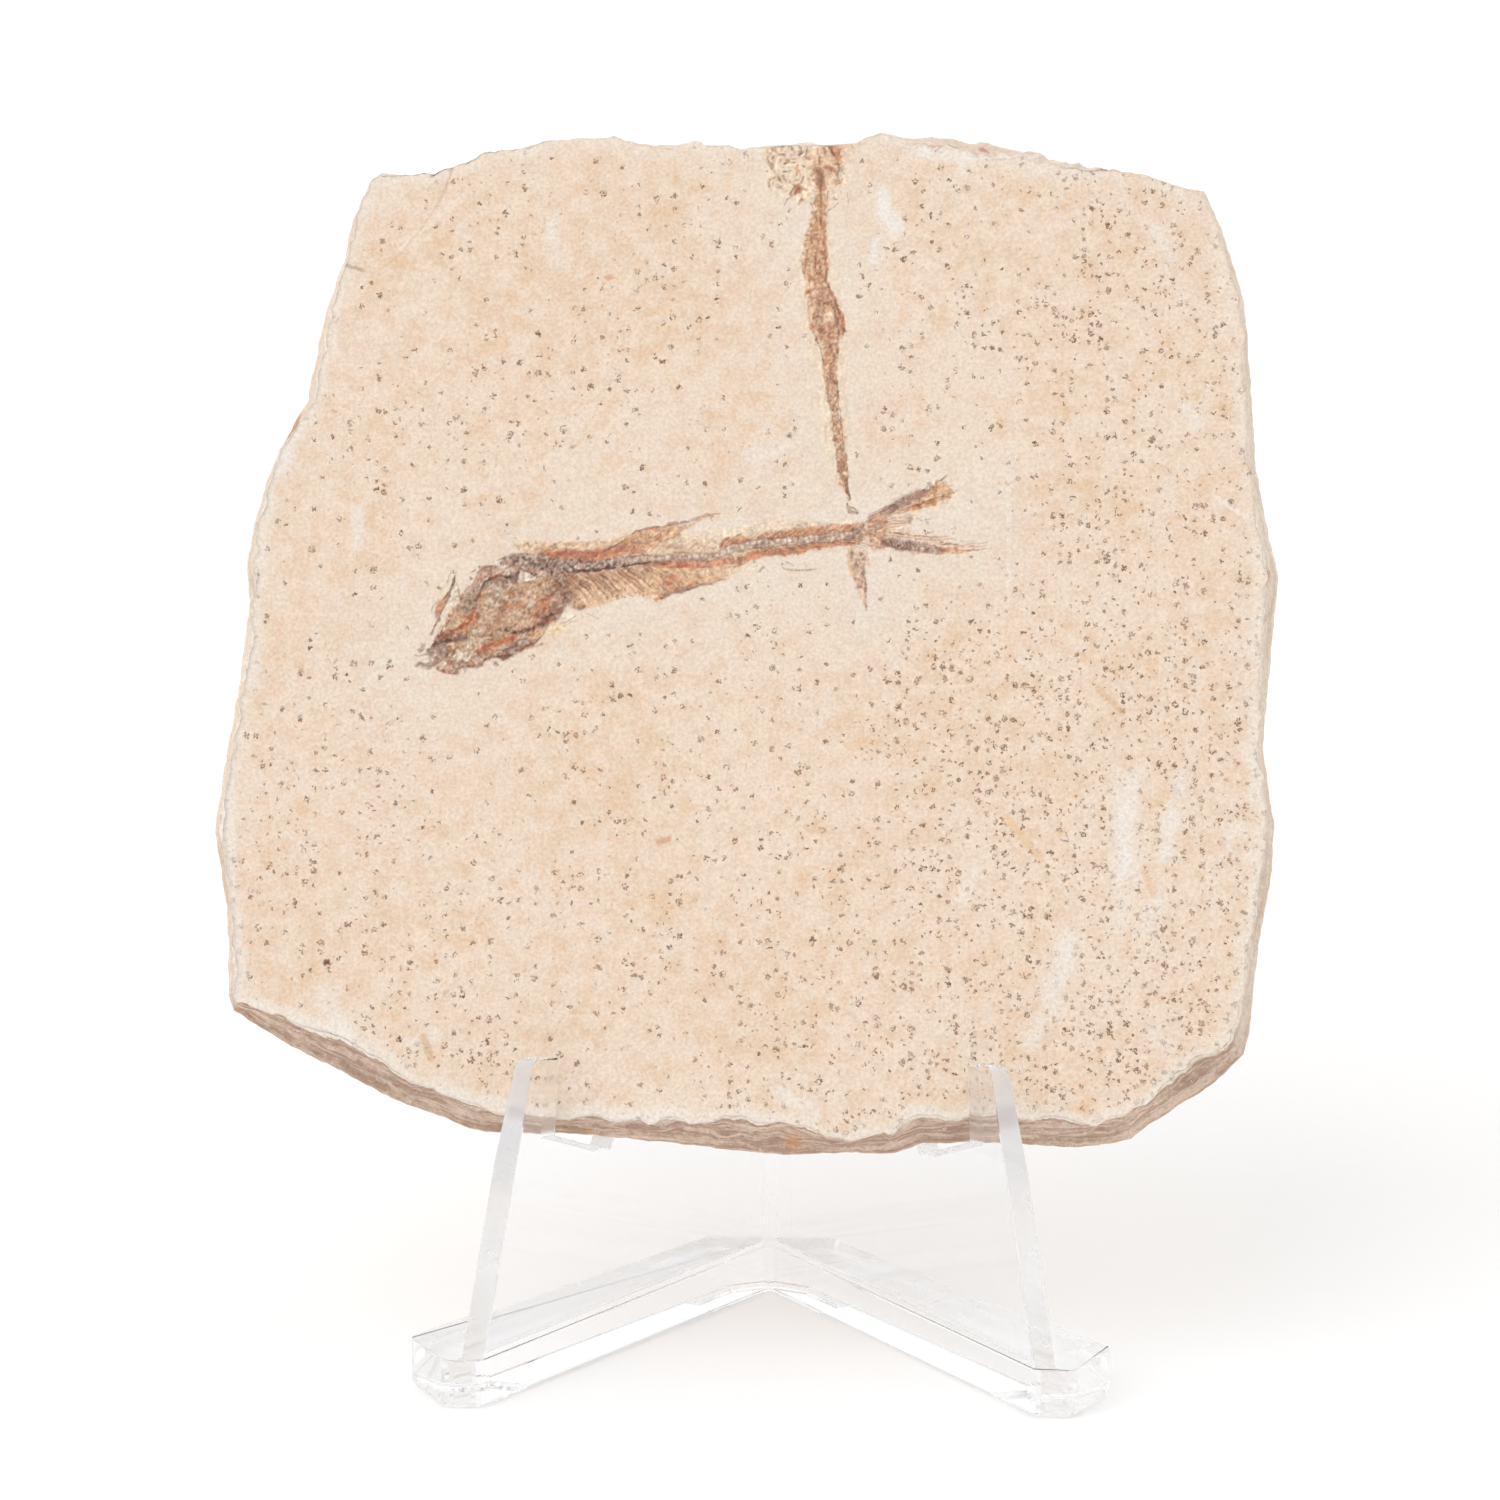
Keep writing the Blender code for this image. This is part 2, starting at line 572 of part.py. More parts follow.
def build_stand(material):
    """The stand: the wings' plan cut to their side view, joined to the bars and their pads."""
    levels = [
        (0.0, WING_THICKNESS),
        (TAPER[0], WING_THICKNESS),
        (TAPER[1], TIP_THICKNESS),
        (STAND_HEIGHT + 5.0, TIP_THICKNESS),
    ]
    stand = loft("stand", [[(x, y, z) for x, y in wing_plan(thick)] for z, thick in levels])
    stand.data.materials.append(material)
    reach = FOOT_END[0] + 20.0
    tools = [prism("wing_side", wing_side(), sideways, -reach, reach)]
    join(stand, tools[0], "INTERSECT")
    tools.append(prism("foot", foot_plan(), upright, FOOT_LIFT, FOOT_HEIGHT))
    for name, plan in pad_plans().items():
        tools.append(prism(name, plan, upright, 0.0, FOOT_LIFT + 1.0))
    for tool in tools[1:]:
        join(stand, tool, "UNION")
    return stand, tools


def centre(solids, tools):
    """Move everything so that the part stands on z = 0 with its box centred over the origin."""
    bpy.context.view_layer.update()
    corners = []
    for solid in solids:
        box = solid.evaluated_get(bpy.context.evaluated_depsgraph_get()).bound_box
        corners += [solid.matrix_world @ Vector(corner) for corner in box]
    low = Vector(min(corner[axis] for corner in corners) for axis in range(3))
    high = Vector(max(corner[axis] for corner in corners) for axis in range(3))
    shift = Vector((-(low.x + high.x) / 2.0, -(low.y + high.y) / 2.0, -low.z))
    for item in solids + tools:
        item.location = shift


def main():
    """Build the slab and its stand."""
    clear_scene()
    slab = build_slab(make_material("limestone", LIMESTONE, 0.9))
    stand, tools = build_stand(make_material("clear_plastic", CLEAR_PLASTIC, 0.05, 1.0))
    centre([slab, stand], tools)


main()
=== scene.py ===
"""Looks of the fossil fish slab and its clear easel, built round the fixed frame.

Lengths are in millimetres in the slab's own measures: x across from its middle, v up from its
lowest point, and h out from its back plane. They become metres in the row frame as meshes are
made.
"""

import math

import bmesh
import bpy
import numpy as np
from mathutils import Matrix, Vector


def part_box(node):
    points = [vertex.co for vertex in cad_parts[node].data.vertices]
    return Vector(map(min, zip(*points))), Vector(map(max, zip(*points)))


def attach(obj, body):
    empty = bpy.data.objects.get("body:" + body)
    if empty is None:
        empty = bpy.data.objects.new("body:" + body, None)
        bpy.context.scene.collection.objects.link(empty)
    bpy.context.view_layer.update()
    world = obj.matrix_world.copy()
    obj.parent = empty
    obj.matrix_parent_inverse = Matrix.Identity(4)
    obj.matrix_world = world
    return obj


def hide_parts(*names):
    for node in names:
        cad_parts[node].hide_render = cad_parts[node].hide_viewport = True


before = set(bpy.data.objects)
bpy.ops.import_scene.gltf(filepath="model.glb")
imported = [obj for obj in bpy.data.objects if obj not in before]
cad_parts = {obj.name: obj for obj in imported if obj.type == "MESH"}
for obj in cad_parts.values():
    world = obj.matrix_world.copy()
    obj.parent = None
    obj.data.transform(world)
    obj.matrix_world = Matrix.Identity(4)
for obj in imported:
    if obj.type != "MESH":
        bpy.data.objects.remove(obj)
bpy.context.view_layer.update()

MM = 0.001

# Where things are: the stand's own origin is the inner corner of its V
STAND_LOW, STAND_HIGH = [np.array(corner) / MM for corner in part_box("stand")]
FOOT_BACK = 4.1                     # the flat back of the stand's foot is this far behind the corner
STAND_ORIGIN = np.array([(STAND_LOW[0] + STAND_HIGH[0]) / 2.0, STAND_HIGH[1] - FOOT_BACK, 0.0])
LEDGE_BACK = (23.3, 26.0)           # forward and up to the back corner of the ledges
FOOT_TOP = 6.5                      # just over the foot bars
FOOT_UPRIGHT = 4.0                  # the bars' upright edges are longer than this
FOOT_END = 27.0                     # and those at the bars' ends lie further out than this
FOOT_CORNER = 1.3                   # round of the bars' ends
EASED_EDGE = 0.2                    # and of every other edge
WING_ACROSS = (0.8, 0.6)            # way that a wing's broad face looks, to either side and forward
SLAB_LEAN = math.radians(22.0)
SLAB_THICKNESS = 8.0
SLAB_GAP = 0.4
SLAB_DROP = 0.6
SLAB_SHIFT = -3.0
SLAB_UP = np.array([0.0, math.sin(SLAB_LEAN), math.cos(SLAB_LEAN)])
SLAB_OUT = np.array([0.0, -math.cos(SLAB_LEAN), math.sin(SLAB_LEAN)])
SLAB_ORIGIN = (
    STAND_ORIGIN + np.array([SLAB_SHIFT, -LEDGE_BACK[0], LEDGE_BACK[1]])
    + SLAB_GAP * SLAB_OUT - SLAB_DROP * SLAB_UP
)

# The broken outline, clockwise from the top left corner: across, up, and how far the front edge
# is broken back there
OUTLINE = [
    (-45.0, 117.6, 0.8), (-41.5, 117.1, 0.7), (-37.5, 117.4, 0.7), (-36.0, 118.2, 0.7),
    (-31.0, 120.0, 0.7), (-27.0, 121.1, 0.7), (-23.5, 121.7, 0.7), (-17.0, 122.0, 0.8),
    (-12.0, 121.1, 0.7), (-7.5, 121.4, 0.7), (-1.5, 120.9, 0.6), (5.0, 121.5, 0.6),
    (10.5, 121.2, 0.7), (15.0, 123.2, 1.2), (18.5, 122.5, 1.6), (21.5, 123.0, 2.0),
    (27.0, 122.1, 2.2), (34.0, 121.1, 1.8), (36.0, 120.2, 1.2), (41.0, 119.3, 0.9),
    (47.5, 118.2, 0.8), (50.2, 117.2, 0.8), (53.9, 116.5, 0.8), (56.0, 112.2, 0.8),
    (58.8, 103.3, 0.9), (59.6, 95.0, 0.9), (60.5, 82.8, 1.0), (61.9, 75.8, 1.2),
    (63.3, 69.8, 1.8),
    (62.7, 63.7, 1.4), (62.1, 55.2, 0.9), (61.6, 49.2, 0.8), (62.6, 43.2, 1.0),
    (63.1, 39.8, 1.2), (62.9, 34.8, 1.4), (61.7, 27.7, 1.3), (60.8, 20.9, 1.2),
    (60.5, 15.8, 1.5), (59.7, 12.8, 2.0), (56.4, 9.4, 3.0), (52.6, 6.9, 2.8),
    (48.2, 4.0, 2.5), (46.5, 2.6, 2.3), (44.0, 1.9, 2.3), (40.0, 1.5, 2.6),
    (34.0, 1.7, 3.0), (28.0, 1.9, 2.6), (21.5, 1.6, 2.4), (18.5, 0.4, 2.2),
    (12.5, 0.4, 1.2), (5.3, 0.0, 3.6), (-1.7, 0.6, 2.9), (-7.0, 1.2, 2.8),
    (-15.0, 1.8, 1.7), (-21.0, 2.2, 1.6), (-28.5, 2.1, 1.8), (-31.5, 2.4, 2.4),
    (-35.2, 3.9, 2.6), (-39.5, 5.3, 2.6), (-43.0, 6.9, 3.2), (-49.0, 9.9, 3.2),
    (-53.5, 12.0, 2.9), (-57.0, 14.1, 2.0), (-60.3, 16.1, 1.2), (-61.0, 18.0, 1.0),
    (-61.1, 24.0, 0.9), (-61.7, 29.5, 0.9), (-63.2, 37.8, 1.1), (-62.2, 45.1, 1.0),
    (-60.6, 56.0, 1.0), (-59.7, 65.1, 1.0), (-60.2, 69.3, 1.2), (-59.5, 74.2, 1.0),
    (-58.2, 79.2, 1.0), (-56.6, 83.5, 1.0), (-53.5, 89.4, 1.3), (-52.5, 94.4, 1.1),
    (-51.4, 100.5, 1.0), (-49.3, 106.8, 0.9), (-48.5, 111.3, 0.8), (-46.6, 116.2, 0.8),
]
CORNERS = (0, 22, 38, 63, 81)       # the outline's points that part its four sides
STEPS = 190                         # mesh steps along each side, and so across the face

# The broken edge, front to back: depth below the face, share of the bevel left there, inset of
# its own, and how strongly the bedding layers step in and out
EDGE_PROFILE = np.array([
    (0.0, 1.0, 0.0, 0.0), (0.4, 0.8, 0.0, 0.1), (1.6, 0.62, 0.0, 0.2), (2.0, 0.32, 0.0, 0.25),
    (3.6, 0.30, 0.1, 0.25), (4.0, 0.05, -0.1, 0.1), (5.6, 0.0, -0.1, 0.05), (6.2, 0.0, 0.0, 0.1),
    (6.6, 0.0, 0.5, 0.3), (8.0, 0.0, 1.2, 0.3),
])
BED = 0.8                           # thickness of the bedding layers that show in the edge

# The sunk flake at the top left: the line it broke along, how deep it lies and how wide its step is
FLAKE_LINE = [
    (-35.8, 118.3), (-37.4, 113.6), (-39.7, 110.0), (-42.0, 107.0), (-44.4, 104.9), (-46.6, 104.8),
    (-48.8, 105.4),
]
FLAKE_DEPTH = 0.45
FLAKE_STEP = 0.5

# The back: the face's usual width, and how far from the rim its terraces reach their full depth
FACE_SPAN = 110.0
BACK_MARGIN = 3.0

# Where the two fish lie, for the pale stone round them
LYING_FISH = [(-37.0, 59.0), (-30.0, 63.5), (-23.0, 68.5), (-10.0, 70.3), (5.0, 72.6),
              (14.0, 74.5), (25.0, 76.0)]
HANGING_FISH = [(6.5, 119.0), (7.6, 108.0), (9.2, 98.0), (10.6, 86.0), (12.0, 77.0), (14.0, 65.0)]

# Meshes of the two fossils: how far each reaches round its fish. The lying one's edges are across and
# up, the hanging one's up and across.
LYING_LOW = [(-41.0, 55.2), (-33.0, 54.8), (-27.0, 56.0), (-22.0, 60.0), (-16.0, 62.4),
             (-6.0, 64.4), (4.0, 67.6), (12.0, 69.9), (17.0, 70.6), (31.0, 70.2)]
LYING_HIGH = [(-41.0, 61.5), (-37.5, 69.0), (-32.0, 71.8), (-27.0, 73.8), (-18.0, 74.5),
              (-8.0, 76.6), (0.0, 77.2), (9.0, 76.6), (15.0, 77.8), (22.0, 82.2), (31.0, 82.6)]
HANGING_LEFT = [(63.8, 11.2), (76.0, 8.7), (88.0, 7.7), (100.0, 4.6), (108.0, 4.0), (113.0, 1.7),
                (120.2, 0.6)]
HANGING_RIGHT = [(63.8, 16.4), (76.0, 14.4), (88.0, 12.6), (98.0, 12.9), (108.0, 11.2),
                 (113.0, 12.0), (120.2, 12.6)]
LYING_GRID = (131, 661)             # rows up and columns across
HANGING_GRID = (501, 81)
LYING_LIFT = 0.03                   # how far each skin floats over the bare face
HANGING_LIFT = 0.015
RIM_GAP = 0.15                      # the hanging skin stops this far below the slab's top rim
SKIN_DEPTH = 0.9                    # how far each skin is rooted below the face
RELIEF = 0.7                        # share of the painted height that stands up from the face
HIGHEST = 0.62                      # painted heights are cut off here

# Chalky rubbed marks on the face: where each runs, half its width, and how strong it is
CHALK_MARKS = [
    ([(-23.7, 112.0), (-24.1, 109.3), (-23.5, 107.3)], 1.0, 0.6),
    ([(-46.6, 76.0), (-46.4, 71.5)], 0.8, 0.7),
    ([(15.4, 114.6), (15.8, 112.4), (17.2, 110.6)], 1.5, 0.95), ([(14.9, 109.4), (14.3, 106.6)], 0.7, 0.8),
    ([(52.0, 89.6), (53.1, 87.3)], 0.9, 0.8),
    ([(46.0, 45.0), (45.6, 41.5), (45.2, 38.0), (45.2, 34.0)], 1.9, 0.8),
    ([(51.9, 45.2), (51.0, 42.0), (50.3, 38.5), (50.0, 36.0)], 1.2, 0.7),
    ([(58.4, 39.5), (57.6, 37.0)], 1.2, 0.6),
    ([(49.0, 30.5), (48.0, 27.0)], 1.6, 0.45),
    ([(45.0, 31.0), (44.6, 28.0)], 1.4, 0.45),
    ([(38.8, 25.2), (38.0, 21.5), (36.8, 18.0)], 1.7, 0.85),
    ([(35.6, 16.0), (34.8, 13.6)], 1.4, 0.5),
    ([(48.8, 15.0), (50.4, 13.4)], 1.2, 0.45),
    ([(5.2, 7.2), (9.1, 4.9)], 1.3, 0.7),
    ([(44.3, 113.8), (48.5, 110.2), (49.8, 107.2)], 0.9, 0.5),
    ([(-49.5, 18.8), (-48.0, 15.6), (-46.4, 13.6)], 1.3, 0.6),
    ([(-36.0, 13.6), (-38.5, 12.2)], 0.9, 0.5),
    ([(26.0, 30.5), (28.0, 34.0)], 1.0, 0.4),
    ([(0.5, 82.5), (4.5, 84.5)], 1.4, 0.5),
    ([(16.0, 121.6), (18.6, 120.6), (21.4, 119.6), (24.6, 119.2), (27.4, 119.6)], 0.55, 0.95),
    ([(24.8, 118.2), (25.2, 117.0)], 0.7, 0.7),
]

# Where specks crowd together: across, up and reach
CROWDS = [(24.6, 103.2, 1.6), (48.8, 102.2, 2.0), (50.6, 107.4, 1.7), (39.6, 107.6, 1.6), (27.6, 117.9, 1.2),
          (14.0, 104.6, 1.3), (1.8, 17.0, 1.3), (-3.0, 20.6, 1.5), (-38.8, 24.4, 1.2), (-31.6, 10.4, 1.4)]

# Rusty places on the edge: across, up, reach and strength
EDGE_RUST = [
    (-54.0, 86.0, 3.0, 1.0), (61.0, 69.5, 2.2, 0.9),
    (6.6, 1.6, 2.0, 0.9), (14.5, 2.0, 2.6, 0.6), (-18.0, 2.0, 2.0, 0.7), (45.0, 2.2, 2.5, 0.6),
]

# Stains, dots and streaks on the face, and painted shadow and highlight along the flake's step: both ends,
# reach, colour and strength
STAINS_AND_STEP_SHADING = [
    ((-9.9, 36.5), (-8.8, 36.9), 0.60, (214, 148, 112), 0.6),
    ((-49.1, 21.7), (-48.9, 21.6), 0.45, (118, 76, 56), 0.9),
    ((-17.3, 104.2), (-16.9, 104.3), 0.50, (214, 148, 108), 0.6),
    ((31.1, 40.1), (35.2, 35.4), 0.75, (236, 196, 152), 0.5),
    ((41.8, 55.6), (44.8, 52.9), 0.55, (226, 190, 150), 0.5),
    ((-37.3, 13.0), (-36.4, 10.6), 0.65, (214, 172, 132), 0.55),
    ((4.7, 85.5), (4.8, 85.4), 0.40, (126, 104, 88), 0.8),
    ((47.5, 34.2), (48.6, 31.2), 0.60, (232, 192, 146), 0.45),
    ((29.8, 88.2), (29.6, 86.4), 1.10, (238, 202, 160), 0.3),
    ((14.2, 86.6), (14.6, 85.6), 1.00, (238, 202, 160), 0.3),
    # Painted highlight: a pale streak beside the flake's step, where its edge catches the light
    ((-34.2, 114.4), (-42.0, 107.6), 0.60, (246, 232, 214), 0.5),
    ((55.6, 78.6), (59.4, 76.2), 0.45, (248, 238, 228), 0.6),
    ((30.9, 84.0), (31.1, 66.0), 0.40, (247, 236, 224), 0.4),
    # Painted shadow: darker lines along the flake's broken line, where its step lies in shade
    (FLAKE_LINE[0], FLAKE_LINE[1], 0.30, (212, 182, 156), 0.5),
    *[(start, end, 0.22, (212, 182, 156), 0.35) for start, end in zip(FLAKE_LINE[1:4], FLAKE_LINE[2:5])],
    (FLAKE_LINE[5], FLAKE_LINE[6], 0.35, (196, 158, 126), 0.7),
    ((-38.9, 117.4), (-38.6, 116.6), 0.60, (226, 180, 146), 0.6),
    ((20.6, 121.3), (22.2, 121.0), 0.55, (204, 142, 108), 0.85),
    ((27.0, 120.8), (28.6, 120.6), 0.50, (204, 142, 108), 0.85),
    ((31.6, 120.7), (34.0, 120.2), 0.35, (150, 128, 100), 0.8),
    ((38.7, 118.8), (39.5, 118.6), 0.35, (196, 148, 128), 0.7),
    ((41.2, 118.3), (41.9, 118.1), 0.35, (196, 148, 128), 0.7),
]
SLAB_LOW, SLAB_HIGH = [np.array(corner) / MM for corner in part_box("slab")]


# ---- numbers that vary over a surface ----


def ease(amount):
    """Clip to 0..1 and bend the ramp into an S."""
    amount = np.clip(amount, 0.0, 1.0)
    return amount * amount * (3.0 - 2.0 * amount)


def bumps(x, v, size, seed):
    """Smooth random values from -1 to 1: random numbers on a square lattice, eased between."""
    table = np.random.default_rng(seed).uniform(-1.0, 1.0, (64, 64))
    left = np.floor(x / size)
    low = np.floor(v / size)
    across = ease(x / size - left)
    up = ease(v / size - low)
    i = left.astype(int) % 63
    j = low.astype(int) % 63
    bottom = table[i, j] * (1.0 - across) + table[i + 1, j] * across
    top = table[i, j + 1] * (1.0 - across) + table[i + 1, j + 1] * across
    return bottom * (1.0 - up) + top * up


def rough(x, v, size, seed, layers=3):
    """Bumps with smaller bumps on them, each layer half as wide and half as high."""
    total = sum(bumps(x, v, size / 2 ** k, seed + k) / 2 ** k for k in range(layers))
    return total / (2.0 - 0.5 ** (layers - 1))


def line_distance(x, v, line):
    """Distance from each place to a broken line, and how far along the line its nearest point is."""
    line = np.array(line, dtype=float)
    start = line[:-1]
    side = np.diff(line, axis=0)
    length = np.maximum(np.hypot(side[:, 0], side[:, 1]), 1e-9)
    dx = x[:, None] - start[:, 0]
    dv = v[:, None] - start[:, 1]
    share = np.clip((dx * side[:, 0] + dv * side[:, 1]) / length ** 2, 0.0, 1.0)
    apart = np.hypot(dx - share * side[:, 0], dv - share * side[:, 1])
    nearest = apart.argmin(axis=1)
    rows = np.arange(len(x))
    before = np.concatenate([[0.0], np.cumsum(length)[:-1]])
    return apart[rows, nearest], before[nearest] + share[rows, nearest] * length[nearest]


def inside(x, v, corners):
    """Which places lie inside a closed outline, by counting the sides that a ray crosses."""
    corners = np.array(corners, dtype=float)
    after = np.roll(corners, -1, axis=0)
    spans = (corners[:, 1] > v[:, None]) != (after[:, 1] > v[:, None])
    rise = np.where(after[:, 1] == corners[:, 1], 1.0, after[:, 1] - corners[:, 1])
    crossing = corners[:, 0] + (v[:, None] - corners[:, 1]) * (after[:, 0] - corners[:, 0]) / rise
    return (spans & (x[:, None] < crossing)).sum(axis=1) % 2 == 1


def tone(red, green, blue):
    """A colour as it looks on a screen, 0 to 255, in linear light."""
    levels = np.array([red, green, blue]) / 255.0
    return np.where(levels < 0.04045, levels / 12.92, ((levels + 0.055) / 1.055) ** 2.4)


# ---- meshes ----


def place(x, v, h):
    """Slab measures in millimetres to metres in the row frame."""
    points = SLAB_ORIGIN + np.multiply.outer(v, SLAB_UP) + np.multiply.outer(h, SLAB_OUT)
    points[..., 0] += x
    return points * MM


def make_piece(name, points, faces, material):
    """A smooth-shaded mesh object from points in metres and lists of point numbers."""
    mesh = bpy.data.meshes.new(name)
    mesh.from_pydata(points.tolist(), [], faces)
    mesh.shade_smooth()
    mesh.materials.append(material)
    piece = bpy.data.objects.new(name, mesh)
    bpy.context.collection.objects.link(piece)
    return piece


def give(piece, name, values):
    """Store three numbers, or a colour with its cover, for each point of a piece."""
    kind, key = {3: ("FLOAT_VECTOR", "vector"), 4: ("FLOAT_COLOR", "color")}[values.shape[1]]
    attribute = piece.data.attributes.new(name, kind, "POINT")
    attribute.data.foreach_set(key, values.astype(np.float32).ravel())


def quads(numbers):
    """Faces between neighbours in a grid of point numbers, whose rows run up and columns across."""
    corners = [numbers[:-1, :-1], numbers[:-1, 1:], numbers[1:, 1:], numbers[1:, :-1]]
    return np.stack([corner.ravel() for corner in corners], axis=1).tolist()


# ---- the limestone's shape ----


def face_height(x, v):
    """Height of the bare face: two crossed sine waves for the bedding, a little noise, and less the
    flake's depth, by a smooth step, past the flake's line."""
    waves = 0.10 * np.sin(0.09 * x + 0.05 * v) + 0.06 * np.sin(0.21 * v - 0.11 * x + 1.0)
    waves += 0.03 * rough(x, v, 5.0, 50)
    line = np.array(FLAKE_LINE)
    order = np.argsort(line[:, 0])
    line_height = np.interp(x, line[order, 0], line[order, 1], right=200.0)
    past = (v - line_height + 0.5 * rough(x, v, 2.5, 55)) / FLAKE_STEP + 0.5
    return waves - FLAKE_DEPTH * ease(past)


def rim_points():
    """The outline as evenly spaced points, the same number on each of its four sides."""
    loop = np.array(OUTLINE + OUTLINE[:1])
    sides = []
    for start, stop in zip(CORNERS, CORNERS[1:]):
        side = loop[start:stop + 1]
        apart = np.linalg.norm(np.diff(side[:, :2], axis=0), axis=1)
        length = np.concatenate([[0.0], np.cumsum(apart)])
        places = np.linspace(0.0, length[-1], STEPS, endpoint=False)
        sides.append(np.stack([np.interp(places, length, side[:, k]) for k in range(3)], axis=1))
    return np.vstack(sides)


def edge_ring(rim, inward, run, depth):
    """The rim at one depth, moved inwards by: share * bevel, the profile's own inset, a step that is
    the same all over one bed, and chips from two sines and noise. Beds are depth / BED, rounded down."""
    share, inset, layers = [np.interp(depth, EDGE_PROFILE[:, 0], EDGE_PROFILE[:, k]) for k in (1, 2, 3)]
    bed = np.floor(depth / BED + 0.3 * bumps(run, 0.0 * run, 11.0, 5))
    steps = layers * (1.0 + bumps(run, 7.3 * bed, 3.5, 21)) + 0.5 * layers * rough(run, 5.1 * bed, 1.2, 22)
    chips = 0.06 * np.sin(2.3 * run) * np.sin(0.9 * run + 1.0)
    chips += 0.12 * (1.0 + rough(run, 0.0 * run + depth, 1.3, 31))
    flaky = ease(2.0 - np.abs(rim[:, 0] - 30.0) / 7.0) * (rim[:, 1] > 115.0)
    chips += flaky * (0.35 + 0.65 * rough(run, 3.0 * bed, 1.5, 63, 2))
    smooth = ease(0.5 + 1.2 * bumps(run, 0.0 * run, 16.0, 47))
    share = share + smooth * (max(0.0, 1.0 - depth / 4.4) - share)
    moved = share * rim[:, 2] * (1.0 + 0.3 * rough(run, 0.0 * run + 2.0 * depth, 4.0, 41))
    moved = moved + 0.5 * share * rough(run, 0.0 * run + 1.5 * depth, 1.7, 45)
    return rim[:, :2] + (moved + inset + steps + chips)[:, None] * inward


def fill(ring):
    """A grid inside a ring: the mix of the top and bottom sides by height, plus the mix of the left and
    right ones by width, less the mix of the four corners by both."""
    corner = np.vstack([ring, ring[:1]])
    top = corner[:STEPS + 1]
    right = corner[STEPS:2 * STEPS + 1][::-1]
    bottom = corner[2 * STEPS:3 * STEPS + 1][::-1]
    left = corner[3 * STEPS:]
    u = np.linspace(0.0, 1.0, STEPS + 1)[None, :, None]
    w = np.linspace(0.0, 1.0, STEPS + 1)[:, None, None]
    between = (1.0 - w) * bottom[None] + w * top[None] + (1.0 - u) * left[:, None] + u * right[:, None]
    corners = (1.0 - w) * ((1.0 - u) * bottom[0] + u * bottom[-1])
    corners = corners + w * ((1.0 - u) * top[0] + u * top[-1])
    return between - corners


def grid_numbers(ring_start, inner_start):
    """Point numbers of a filled ring: its border is the ring's own points."""
    numbers = np.empty((STEPS + 1, STEPS + 1), dtype=int)
    numbers[1:-1, 1:-1] = inner_start + np.arange((STEPS - 1) ** 2).reshape(STEPS - 1, STEPS - 1)
    ring = ring_start + np.append(np.arange(4 * STEPS), 0)
    numbers[-1, :] = ring[:STEPS + 1]
    numbers[::-1, -1] = ring[STEPS:2 * STEPS + 1]
    numbers[0, ::-1] = ring[2 * STEPS:3 * STEPS + 1]
    numbers[:, 0] = ring[3 * STEPS:]
    return numbers


def slab_shape():
    """Points of the slab as x, v and h, its faces, how far each point is on the face, and how far the
    edge faces down there. The skin is a stack of rings, one for each depth, a filled grid for the face
    in front and one for the back, which steps down in terraces: waves rounded to whole numbers."""
    rim = rim_points()
    along = np.roll(rim[:, :2], -3, axis=0) - np.roll(rim[:, :2], 3, axis=0)
    inward = np.stack([along[:, 1], -along[:, 0]], axis=1)
    inward /= np.linalg.norm(inward, axis=1, keepdims=True)
    run = np.cumsum(np.linalg.norm(np.diff(rim[:, :2], axis=0, prepend=rim[:1, :2]), axis=1))
    beds = np.arange(0.0, SLAB_THICKNESS, BED)
    depths = np.unique(np.concatenate([[0.0, 0.15], beds + 0.12, beds + 0.42, beds + 0.7, [8.0]]).round(3))
    blocks = []
    for depth in depths:
        flat = edge_ring(rim, inward, run, depth)
        height = SLAB_THICKNESS - depth + face_height(*flat.T) * max(0.0, 1.0 - depth / 3.0)
        blocks.append(np.column_stack([flat, height]))
    count = len(rim)
    numbers = np.arange(len(depths) * count).reshape(len(depths), count)
    numbers = np.column_stack([numbers, numbers[:, 0]])
    faces = quads(numbers[::-1])

    face = fill(blocks[0][:, :2])[1:-1, 1:-1].reshape(-1, 2)
    face = np.column_stack([face, SLAB_THICKNESS + face_height(*face.T)])
    back = fill(blocks[-1][:, :2])
    u, w = np.meshgrid(np.linspace(0.0, 1.0, STEPS + 1), np.linspace(0.0, 1.0, STEPS + 1))
    from_rim = ease(np.minimum.reduce([u, 1.0 - u, w, 1.0 - w]) * FACE_SPAN / BACK_MARGIN)
    x, v = back[..., 0], back[..., 1]
    swell = np.sin(0.07 * x + 0.9) + np.sin(0.06 * v) + 0.5 * np.sin(0.16 * x - 0.12 * v)
    swell = swell + 0.35 * rough(x, v, 9.0, 70)
    terrace = np.floor(swell + 0.5) + ease((swell + 0.5 - np.floor(swell + 0.5)) * 6.0 - 5.0)
    sunk = 0.45 + 0.35 * np.clip(terrace - 0.5, -1.0, 1.0) + 0.10 * rough(x, v, 2.2, 75)
    back = np.dstack([back, np.maximum(sunk, 0.02) * from_rim])[1:-1, 1:-1].reshape(-1, 3)

    faces += quads(grid_numbers(0, len(depths) * count))
    faces += quads(grid_numbers((len(depths) - 1) * count, len(depths) * count + len(face))[:, ::-1])
    points = np.vstack(blocks + [face, back])
    on_face = np.concatenate([
        np.repeat(np.interp(depths, [0.0, 0.5], [1.0, 0.0]), count), np.ones(len(face)), np.zeros(len(back)),
    ])
    # How far the edge faces down, which the finish paints as shade; the back takes a little of it
    facing_down_shade = np.concatenate([
        np.tile(ease(0.2 + inward[:, 1]), len(depths)), np.zeros(len(face)), np.full(len(back), 0.25),
    ])
    return points, faces, on_face, facing_down_shade


# ---- the fossils ----

